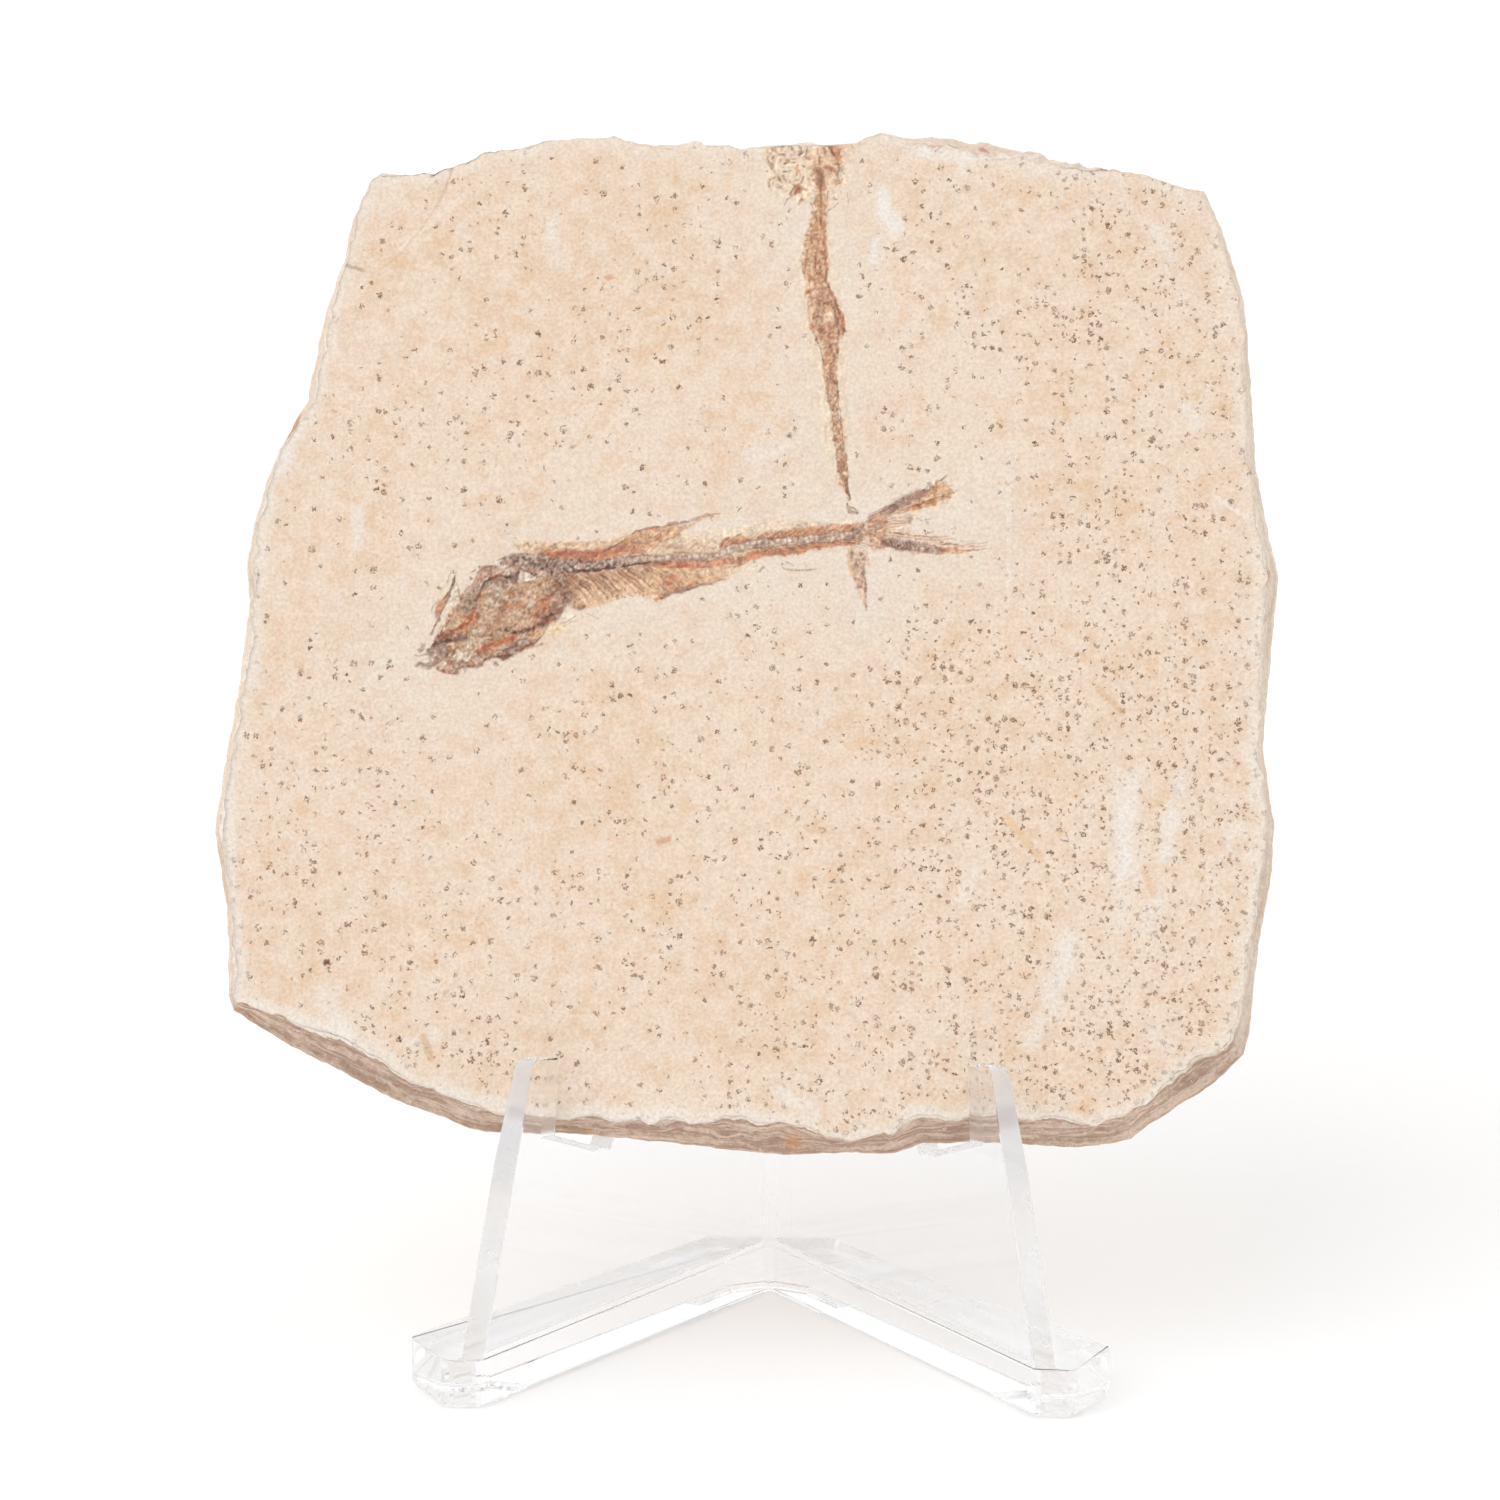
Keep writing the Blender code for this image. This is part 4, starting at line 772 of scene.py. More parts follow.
    # Broken pieces left of the snout and the pale gaps between
    patch([
        (-37.2, 63.0), (-36.9, 64.7), (-36.0, 65.7), (-35.4, 66.2), (-35.5, 65.0), (-36.3, 63.6),
        (-36.8, 62.6),
    ], (198, 150, 116), 0.85, 0.12, 0.25, 0.25)
    stroke([(-36.6, 63.9), (-36.3, 64.7)], 0.5, (214, 152, 108), 0.7)
    stroke([
        (-37.4, 61.0), (-36.9, 62.2), (-36.3, 63.5), (-35.8, 64.7), (-35.3, 65.9), (-34.95, 67.2),
        (-34.8, 68.0),
    ], [0.25, 0.25, 0.25, 0.22, 0.25, 0.35, 0.15], (146, 108, 86), 0.85, 0.1)
    stroke([(-36.1, 65.2), (-35.5, 65.9), (-35.2, 66.8), (-34.9, 67.5), (-34.7, 68.1)],
           [0.2, 0.3, 0.25, 0.45, 0.1], (120, 90, 76), 0.75, 0.05)
    stroke([(-37.4, 60.9), (-37.2, 61.5)], 0.3, (180, 116, 84), 0.7)
    stroke([(-37.4, 63.5), (-37.3, 64.4), (-36.9, 64.9)], 0.16, BROWN, 0.6)
    patch([(-37.0, 66.0), (-36.9, 66.8), (-36.0, 66.8), (-35.6, 66.0), (-36.2, 65.7)], (232, 206, 168), 0.6,
          0.0, 0.4)
    flecks([(-36.6, 66.5), (-36.65, 66.6)], 0.3, (140, 120, 100), 0.7)
    patch([
        (-35.5, 64.4), (-35.0, 65.9), (-34.7, 67.2), (-34.4, 67.4), (-34.1, 66.8), (-34.2, 65.3),
        (-34.9, 64.4),
    ], (240, 222, 198), 0.95, -0.15, 0.16, 0.12)
    patch([(-36.8, 61.0), (-36.3, 62.4), (-35.5, 63.7), (-35.4, 63.3), (-36.0, 62.1), (-36.5, 60.9)],
          (238, 216, 188), 0.8, -0.1, 0.14, 0.1)
    stroke([(-34.1, 64.9), (-34.1, 65.5), (-34.25, 66.2), (-34.3, 67.0)], 0.14, (120, 92, 74))
    stroke([(-35.7, 67.2), (-35.5, 67.9), (-35.2, 68.5)], [0.3, 0.18, 0.1], (176, 152, 132), 0.6)
    stroke([(-32.9, 68.4), (-32.6, 68.6), (-32.4, 68.7)], 0.2, (150, 128, 112), 0.7)
    stroke([(-33.5, 66.9), (-33.2, 67.0)], 0.4, PALE, 0.6)
    stroke([(-33.9, 65.4), (-33.7, 66.3), (-33.2, 66.7)], 0.25, (232, 200, 166), 0.7)

    # Thin tail of colour behind the jaw
    patch([(-24.0, 61.0), (-23.2, 62.3), (-21.8, 62.4), (-21.5, 62.0), (-22.6, 61.2), (-23.6, 60.8)],
          (236, 210, 170), 0.6, 0.0, 0.4, 0.3)
    stroke([(-22.9, 62.4), (-22.6, 61.9), (-22.2, 61.5)], 0.4, (228, 186, 138), 0.6)
    stroke([(-22.2, 62.4), (-21.2, 62.8), (-20.3, 63.4)], 0.14, (160, 134, 112), 0.7, 0.03)
    stroke([(-21.7, 62.2), (-21.0, 62.5), (-20.3, 62.9)], 0.12, (180, 156, 134), 0.6)
    patch([(-22.0, 63.2), (-21.6, 64.2), (-20.6, 64.0), (-20.5, 63.4), (-21.5, 62.9)], CREAM, 0.6, 0.0, 0.3)
    stroke([(-23.2, 62.9), (-22.4, 63.0)], 0.3, (150, 120, 104), 0.6)

    # Grain over all the plates, and their main lines over the grain
    crumbs(head, 0.36, 0.2, (104, 72, 62), 0.5)
    crumbs(head, 0.42, 0.2, (232, 210, 188), 0.5, 0.02)
    crumbs(head, 0.62, 0.26, (198, 132, 94), 0.4)
    for line, width, colour in (
        (brow, 0.34, (92, 62, 54)), (cheek, 0.62, (170, 92, 52)), (lip, 0.42, (88, 62, 56)),
        (jaw, 0.55, (186, 98, 58)), (throat, 0.42, (88, 58, 50)),
    ):
        stroke(line, width, colour, 0.62, 0.03, 0.6)


def paint_nape(paint):
    """Where the backbone meets the skull: grey and dark grain laid over both."""
    patch, crumbs = paint.patch, paint.crumbs
    patch([(-22.4, 69.0), (-20.8, 69.0), (-19.6, 67.4), (-20.4, 65.0), (-21.6, 64.4), (-22.3, 66.0)],
          (164, 122, 102), 0.6, 0.03, 0.9, 0.8, 0.4)
    nape = [
        (-29.4, 69.6), (-28.8, 70.7), (-26.0, 70.8), (-22.0, 70.1), (-20.6, 69.9), (-20.6, 68.9),
        (-22.6, 68.2), (-25.0, 69.0), (-27.4, 69.2),
    ]
    patch(nape, (156, 128, 116), 0.5, 0.04, 0.6, 0.6, 0.4)
    crumbs(nape, 0.34, 0.24, (92, 70, 66), 0.8, 0.03)
    crumbs(nape, 0.4, 0.24, (210, 190, 174), 0.75, 0.04)
    crumbs([(-23.4, 68.8), (-21.6, 68.6), (-20.8, 66.8), (-21.0, 65.0), (-22.4, 66.4)], 0.4, 0.22,
           (104, 72, 64))


def paint_body(paint):
    """The trunk: rusty flesh each side of a pale backbone, ribs below and the back fin above."""
    patch, stroke, comb, flecks, crumbs = paint.patch, paint.stroke, paint.comb, paint.flecks, paint.crumbs
    back = [
        (-28.0, 71.8), (-27.3, 72.1), (-25.0, 72.1), (-22.0, 72.2), (-20.0, 72.3), (-18.0, 72.5),
        (-16.0, 72.8), (-14.3, 73.2),
    ]
    belly = [
        (-20.6, 64.4), (-19.5, 64.2), (-18.0, 64.9), (-17.0, 65.2), (-15.5, 65.7), (-14.0, 66.0),
        (-12.5, 65.9), (-11.0, 65.3), (-10.0, 65.5), (-9.0, 66.2), (-7.5, 66.9), (-6.0, 67.3), (-4.4, 67.5),
        (-2.5, 68.1),
    ]
    rump = [(-11.0, 73.9), (-8.0, 73.3), (-3.3, 72.4), (14.0, 75.0), (14.0, 72.6), (4.4, 71.0), (0.5, 70.4),
            (-2.3, 68.2)]
    nape = [(-21.2, 65.2), (-22.2, 68.0), (-26.0, 70.2)]
    patch(back + rump + belly[::-1] + nape, (226, 188, 152), 0.62, 0.1, 0.9, 0.4)
    patch([
        (-8.0, 73.2), (-6.0, 73.4), (-4.0, 73.7), (-2.0, 74.3), (0.0, 74.6), (2.0, 75.2), (4.0, 75.3),
        (6.0, 75.3), (9.0, 75.2), (12.0, 75.3), (14.0, 75.2), (13.8, 73.0), (4.0, 71.0), (0.0, 70.3),
        (-5.0, 71.5),
    ], (235, 208, 176), 0.55, 0.03, 0.8, 0.5)

    # Above the backbone at the front
    shoulder = [(-13.6, 72.0), (-16.0, 71.3), (-20.0, 71.2), (-24.0, 71.0), (-26.6, 71.0)]
    patch([(-27.6, 71.4), (-27.3, 72.0)] + back[2:] + shoulder, (228, 192, 156), 0.7, 0.02, 0.3, 0.25)
    patch([
        (-26.2, 70.9), (-24.0, 71.2), (-22.0, 71.5), (-20.0, 71.4), (-17.5, 71.5), (-16.0, 71.8),
        (-14.0, 72.3), (-12.5, 71.8), (-12.0, 71.2), (-14.0, 70.8), (-16.5, 70.3), (-18.0, 70.0),
        (-20.0, 69.9), (-23.0, 69.9), (-26.2, 70.1),
    ], (200, 134, 104), 0.85, 0.08, 0.4)
    stroke([(-24.0, 70.6), (-21.5, 70.9), (-19.0, 70.8), (-16.5, 71.0), (-14.6, 71.6)],
           [0.4, 0.8, 0.9, 0.7, 0.4], (194, 116, 84), 0.6, 0.02)
    comb([(-25.5, 70.2), (-13.5, 70.8)], [(-24.6, 71.2), (-12.4, 72.6)], 16, 0.14, (168, 98, 70), 0.5)
    comb([(-25.5, 70.9), (-14.0, 71.8)], [(-24.9, 71.9), (-13.2, 73.0)], 14, 0.16, (238, 208, 176), 0.5)
    crumbs([(-26.5, 70.2), (-26.0, 71.0), (-14.0, 72.4), (-12.0, 71.0), (-20.0, 69.9)], 0.7, 0.26,
           (226, 176, 142), 0.5)
    stroke([(-28.2, 72.6), (-27.6, 72.7), (-27.4, 72.5)], 0.16, (150, 128, 108), 0.6, 0.03)
    stroke([(-27.9, 72.3), (-27.6, 71.8), (-27.2, 71.4), (-26.7, 71.3)], [0.2, 0.24, 0.2, 0.15],
           (176, 152, 124), 0.65, 0.03)
    flecks([
        (-26.2, 72.0), (-26.0, 71.8), (-25.2, 72.1), (-23.3, 71.7), (-23.0, 71.6), (-22.8, 71.9),
        (-22.7, 71.6),
    ], 0.28, (140, 118, 96), 0.75, 0.02)

    # Back fin
    patch([
        (-14.8, 72.6), (-13.3, 73.6), (-11.8, 74.1), (-9.6, 74.4), (-7.5, 74.6), (-5.8, 75.1), (-6.0, 74.8),
        (-7.6, 73.9), (-8.6, 73.2), (-10.5, 72.4), (-12.0, 71.6), (-15.0, 71.9),
    ], (224, 176, 134), 0.78, 0.08)
    comb([(-15.2, 71.9), (-11.8, 71.8), (-8.8, 73.0)], [(-12.6, 73.9), (-9.0, 74.5), (-5.4, 75.2)], 15, 0.17,
         (178, 116, 84), 0.75, 0.05)
    comb([(-14.6, 71.9), (-11.2, 72.2), (-8.4, 73.3)], [(-12.0, 73.8), (-8.4, 74.4), (-5.6, 75.1)], 10, 0.14,
         (240, 208, 170), 0.6)
    flecks([(-13.2, 72.6), (-12.9, 72.3)], 0.55, (154, 118, 104), 0.6)
    flecks([(-9.6, 73.6), (-8.8, 73.4), (-8.3, 73.3), (-12.7, 73.0)], 0.24, (120, 88, 74), 0.7)
    stroke([
        (-17.0, 71.4), (-15.5, 72.0), (-14.5, 72.8), (-13.3, 73.6), (-12.0, 74.1), (-10.0, 74.3),
        (-8.0, 74.8), (-6.5, 75.3), (-5.0, 75.7), (-3.4, 76.0),
    ], [0.15, 0.22, 0.25, 0.28, 0.25, 0.25, 0.22, 0.22, 0.3, 0.12], (158, 112, 88), 0.85, 0.08)
    stroke([(-9.4, 74.65), (-8.5, 74.8)], 0.35, (110, 80, 68), 0.8, 0.04)
    stroke([(-9.5, 74.4), (-8.0, 74.6), (-6.5, 75.1), (-5.5, 75.2)], 0.16, (176, 124, 94), 0.7, 0.03)
    stroke([(-6.0, 75.35), (-4.8, 75.7), (-3.3, 75.95)], [0.2, 0.35, 0.15], (214, 156, 108), 0.75, 0.03)
    stroke([(-17.2, 71.2), (-15.8, 71.8), (-15.0, 72.5)], 0.2, (128, 82, 64), 0.75, 0.03)
    stroke([(-13.8, 75.0), (-13.6, 74.2), (-13.5, 73.6)], 0.3, (232, 210, 184), 0.4)
    stroke([(-12.0, 72.2), (-10.0, 71.9), (-8.0, 71.7)], 0.3, (206, 150, 116), 0.5)

    # Ribs
    ribs = [(-22.2, 68.4), (-20.0, 68.6), (-16.0, 69.0), (-12.0, 69.6), (-9.0, 69.8), (-3.0, 69.6)]
    ribs = ribs + belly[::-1]
    patch(ribs, (226, 180, 142), 0.72, 0.06, 0.6, 0.6)
    patch([(-21.6, 68.4), (-17.0, 68.7), (-13.0, 69.2), (-13.0, 67.8), (-17.0, 67.0), (-20.6, 66.2)],
          (202, 138, 102), 0.6, 0.02, 0.9, 0.5)
    comb([(-23.6, 68.9), (-16.0, 69.2), (-8.6, 69.9)], [(-19.8, 64.4), (-12.6, 65.9), (-4.6, 67.6)], 30, 0.2,
         (176, 112, 80), 0.66, 0.05, 0.03)
    comb([(-23.2, 68.9), (-16.0, 69.2), (-8.4, 69.9)], [(-19.4, 64.5), (-12.2, 65.9), (-4.4, 67.6)], 26, 0.18,
         (238, 206, 170), 0.7, -0.03, 0.03)
    comb([(-22.4, 68.6), (-16.0, 69.1), (-9.4, 69.6)], [(-18.0, 64.7), (-11.4, 65.9), (-4.8, 67.5)], 15, 0.3,
         (246, 216, 182), 0.8, -0.02, 0.03)
    comb([(-22.6, 68.6), (-16.0, 69.1), (-9.4, 69.6)], [(-18.4, 64.5), (-11.6, 65.8), (-5.0, 67.4)], 19, 0.27,
         (146, 94, 70), 0.85, 0.06, 0.03)
    stroke([(-21.2, 66.0), (-20.5, 65.4), (-20.4, 64.6)], 0.3, (124, 92, 78), 0.6, 0.04)
    stroke([(-20.9, 65.9), (-20.3, 65.2), (-19.6, 64.9)], 0.25, (238, 214, 178), 0.7)
    flecks([(-15.4, 65.7), (-14.5, 65.7), (-13.2, 66.2), (-12.2, 65.9), (-16.6, 65.5)], 0.26, (126, 92, 76),
           0.7)
    stroke([(-20.6, 64.5), (-20.0, 64.3), (-19.3, 64.6)], 0.28, (140, 110, 90), 0.7, 0.04)
    stroke([(-20.1, 64.1), (-19.4, 64.4)], 0.16, (110, 84, 70), 0.6)
    stroke([(-19.0, 63.7), (-18.3, 63.4), (-17.5, 63.1)], 0.15, (170, 140, 112), 0.7, 0.02)
    stroke([(-17.8, 65.0), (-17.4, 64.4)], 0.15, (166, 120, 92), 0.6)
    patch([
        (-11.0, 69.6), (-8.0, 69.8), (-5.0, 69.6), (-3.0, 69.2), (-4.5, 68.0), (-7.0, 67.4), (-9.5, 66.8),
        (-11.5, 67.4),
    ], (222, 178, 140), 0.6, 0.0, 0.6, 0.4)
    patch([(-9.9, 67.6), (-9.0, 68.5), (-8.0, 68.4), (-8.2, 67.5), (-9.2, 67.2)], (204, 134, 96), 0.7, 0.02,
          0.4)
    comb([(-10.6, 65.8), (-7.0, 67.2)], [(-8.4, 68.0), (-3.8, 68.8)], 8, 0.18, (208, 146, 100), 0.65, 0.02)
    stroke([
        (-11.0, 65.4), (-10.0, 65.8), (-9.0, 66.3), (-7.5, 66.9), (-6.0, 67.3), (-4.4, 67.5), (-2.5, 68.1),
    ], [0.2, 0.5, 0.7, 0.8, 0.6, 0.35, 0.12], (166, 120, 102), 0.8, 0.1)
    stroke([(-10.2, 65.6), (-8.6, 66.3), (-7.0, 66.9), (-5.4, 67.2)], [0.15, 0.3, 0.3, 0.12], (118, 84, 76),
           0.6)

    # Flesh above and below the backbone, towards the tail
    stroke([
        (-12.0, 69.6), (-10.3, 69.8), (-8.0, 69.75), (-6.0, 69.85), (-4.0, 69.95), (-2.0, 70.3), (0.0, 70.7),
    ], [0.5, 0.8, 0.9, 0.9, 0.9, 0.8, 0.6], (192, 112, 78), 0.85, 0.06)
    stroke([(-12.2, 69.7), (-10.6, 69.9), (-9.2, 70.0)], 0.4, (150, 108, 94), 0.7)
    stroke([(0.5, 71.0), (0.1, 70.4), (-0.5, 70.0), (-1.2, 69.9)], 0.2, (132, 86, 66), 0.75, 0.04)
    stroke([(-5.0, 69.2), (-3.0, 69.1), (-1.0, 69.3), (1.0, 69.5)], [0.6, 0.7, 0.6, 0.3], (236, 206, 170),
           0.7)
    stroke([(-4.4, 69.45), (-2.0, 69.55), (-0.6, 69.8)], 0.25, (212, 156, 114), 0.6)
    below = [
        (-1.0, 70.4), (1.0, 70.5), (2.5, 70.7), (4.4, 71.0), (6.0, 71.3), (7.5, 71.7), (9.0, 72.0),
        (11.0, 72.3), (13.0, 72.6), (13.6, 73.3), (11.0, 73.0), (8.0, 72.5), (5.0, 72.2), (2.0, 71.8),
        (0.0, 71.3),
    ]
    patch(below, (204, 140, 104), 0.85, 0.06, 0.35, 0.3)
    above = [
        (-3.4, 72.0), (-2.2, 73.0), (-1.0, 73.4), (0.0, 73.1), (1.2, 73.4), (3.0, 73.9), (5.0, 74.1),
        (7.0, 74.4), (9.0, 74.6), (10.5, 74.9), (12.0, 74.9), (13.6, 75.0), (13.6, 74.3), (10.0, 73.8),
        (6.0, 73.4), (2.0, 73.0), (0.0, 72.6), (-2.0, 71.9),
    ]
    patch(above, (206, 144, 108), 0.8, 0.06, 0.4)
    comb([(-3.0, 72.0), (5.0, 73.2), (13.2, 74.2)], [(-1.4, 73.5), (6.6, 74.6), (14.2, 75.2)], 26, 0.16,
         (172, 104, 76), 0.7, 0.04)
    comb([(-3.4, 72.2), (5.0, 73.3), (12.8, 74.2)], [(-1.0, 73.7), (6.8, 75.0), (14.0, 75.4)], 22, 0.14,
         (240, 212, 180), 0.6)
    comb([(0.0, 71.6), (6.0, 72.4), (12.4, 73.2)], [(1.8, 70.6), (8.2, 71.7), (13.8, 72.5)], 20, 0.15,
         (160, 96, 70), 0.65, 0.03)
    comb([(-12.0, 71.2), (-4.0, 71.7)], [(-10.4, 72.4), (-2.6, 72.8)], 12, 0.15, (198, 138, 104), 0.6, 0.02)
    stroke([(-3.3, 72.0), (-2.9, 72.5), (-2.3, 73.1)], 0.36, (168, 96, 62), 0.85, 0.04)
    stroke([(-1.3, 73.2), (-0.9, 73.5)], 0.24, (128, 92, 74), 0.75)
    stroke([(-2.2, 72.6), (-1.2, 72.9), (0.2, 72.8)], 0.4, (200, 130, 92), 0.6)
    flecks([(4.4, 71.0), (2.6, 70.9), (0.7, 70.2), (6.0, 71.3), (8.6, 71.9)], 0.26, (146, 122, 88), 0.7)
    flecks([(5.2, 74.9), (6.0, 74.7), (6.8, 74.9), (3.8, 74.5), (8.4, 75.0), (7.4, 74.6)], 0.22,
           (156, 134, 106), 0.6)

    # Under the root of the tail
    stroke([(11.3, 73.0), (12.8, 72.85), (14.5, 72.4)], 0.14, (140, 100, 82), 0.7, 0.03)
    stroke([(11.5, 72.75), (13.0, 72.55), (14.3, 72.1)], 0.14, (150, 110, 90), 0.65, 0.03)
    stroke([(12.0, 72.4), (13.0, 72.2), (13.8, 71.9)], 0.12, (166, 130, 106), 0.6, 0.02)
    stroke([(11.6, 72.9), (13.0, 72.7), (14.2, 72.25)], 0.1, (242, 226, 204), 0.7)

    # Backbone
    line = [
        (-27.6, 69.6), (-25.5, 69.6), (-24.0, 69.5), (-22.0, 69.4), (-20.0, 69.4), (-18.0, 69.6),
        (-16.0, 69.8), (-14.0, 70.1), (-12.0, 70.4), (-10.0, 70.6), (-8.0, 70.7), (-6.0, 70.7), (-4.0, 70.9),
        (-2.0, 71.6), (0.0, 72.2), (2.0, 72.5), (4.0, 72.7), (6.0, 72.9), (8.0, 73.0), (10.0, 73.2),
        (12.0, 73.6), (13.8, 74.0),
    ]
    stroke(line, [1.1] * 12 + [1.0] * 8 + [1.1, 0.9], (172, 134, 116), 0.75, 0.0, 0.5, 0.2)
    near, apart, waist = paint.spine(line, 0.55, [1.2, 0.82], 0.34)
    bone = ease(1.25 - apart / 0.42) * ease(2.2 * waist - 0.7)
    pale = np.interp(paint.x[near], [-24.0, -12.0, -9.0, 9.0, 12.0], [0.35, 0.5, 0.7, 0.7, 0.3])
    patchy = ease(0.55 + 0.9 * paint.coarse[near] + 0.9 * paint.fine[near])
    paint.lay(near, bone * pale * patchy, (232, 216, 202), 0.0)
    gap = ease(1.2 - apart / 0.5) * ease(1.0 - 2.6 * waist)
    paint.lay(near, 0.42 * gap * ease(0.4 + 1.6 * paint.fine[near]), (124, 90, 76), 0.0)
    stroke([
        (-23.0, 68.75), (-21.0, 68.85), (-19.5, 68.85), (-18.0, 69.0), (-16.5, 69.2), (-15.0, 69.4),
        (-14.0, 69.6), (-12.8, 69.75), (-11.5, 69.95),
    ], [0.4, 0.42, 0.35, 0.4, 0.3, 0.3, 0.28, 0.25, 0.15], (88, 58, 50), 0.9, 0.03, 0.6, 0.25)
    stroke([(-27.5, 70.1), (-25.8, 70.1), (-24.2, 70.0), (-22.6, 69.95)], 0.22, (96, 68, 62), 0.7)
    stroke([(-27.6, 69.2), (-26.4, 69.1), (-25.2, 68.95), (-24.0, 68.9)], 0.22, (92, 64, 58), 0.7)
    stroke([(-22.4, 69.9), (-19.5, 69.85), (-17.0, 70.15), (-14.0, 70.55), (-11.5, 70.9)], 0.16,
           (124, 80, 66), 0.65)
    stroke([(-1.0, 71.3), (1.0, 71.8), (4.0, 72.15), (7.0, 72.4), (10.0, 72.7), (12.6, 73.2)], 0.18,
           (132, 90, 70), 0.55)
    stroke([(-3.0, 71.8), (-1.0, 72.5), (1.6, 72.95), (4.6, 73.2), (8.0, 73.5), (11.0, 73.9)], 0.15,
           (134, 92, 74), 0.6)
    crumbs([(-27.6, 69.2), (-27.0, 70.1), (-14.0, 70.4), (-14.0, 69.7), (-20.0, 69.0)], 0.42, 0.22,
           (220, 206, 194), 0.7, 0.03)
    crumbs([
        (-28.0, 69.0), (-27.6, 70.6), (-21.0, 70.2), (-14.0, 70.4), (-14.0, 69.7), (-20.0, 68.6),
        (-24.0, 68.8),
    ], 0.36, 0.22, (84, 64, 62), 0.8)


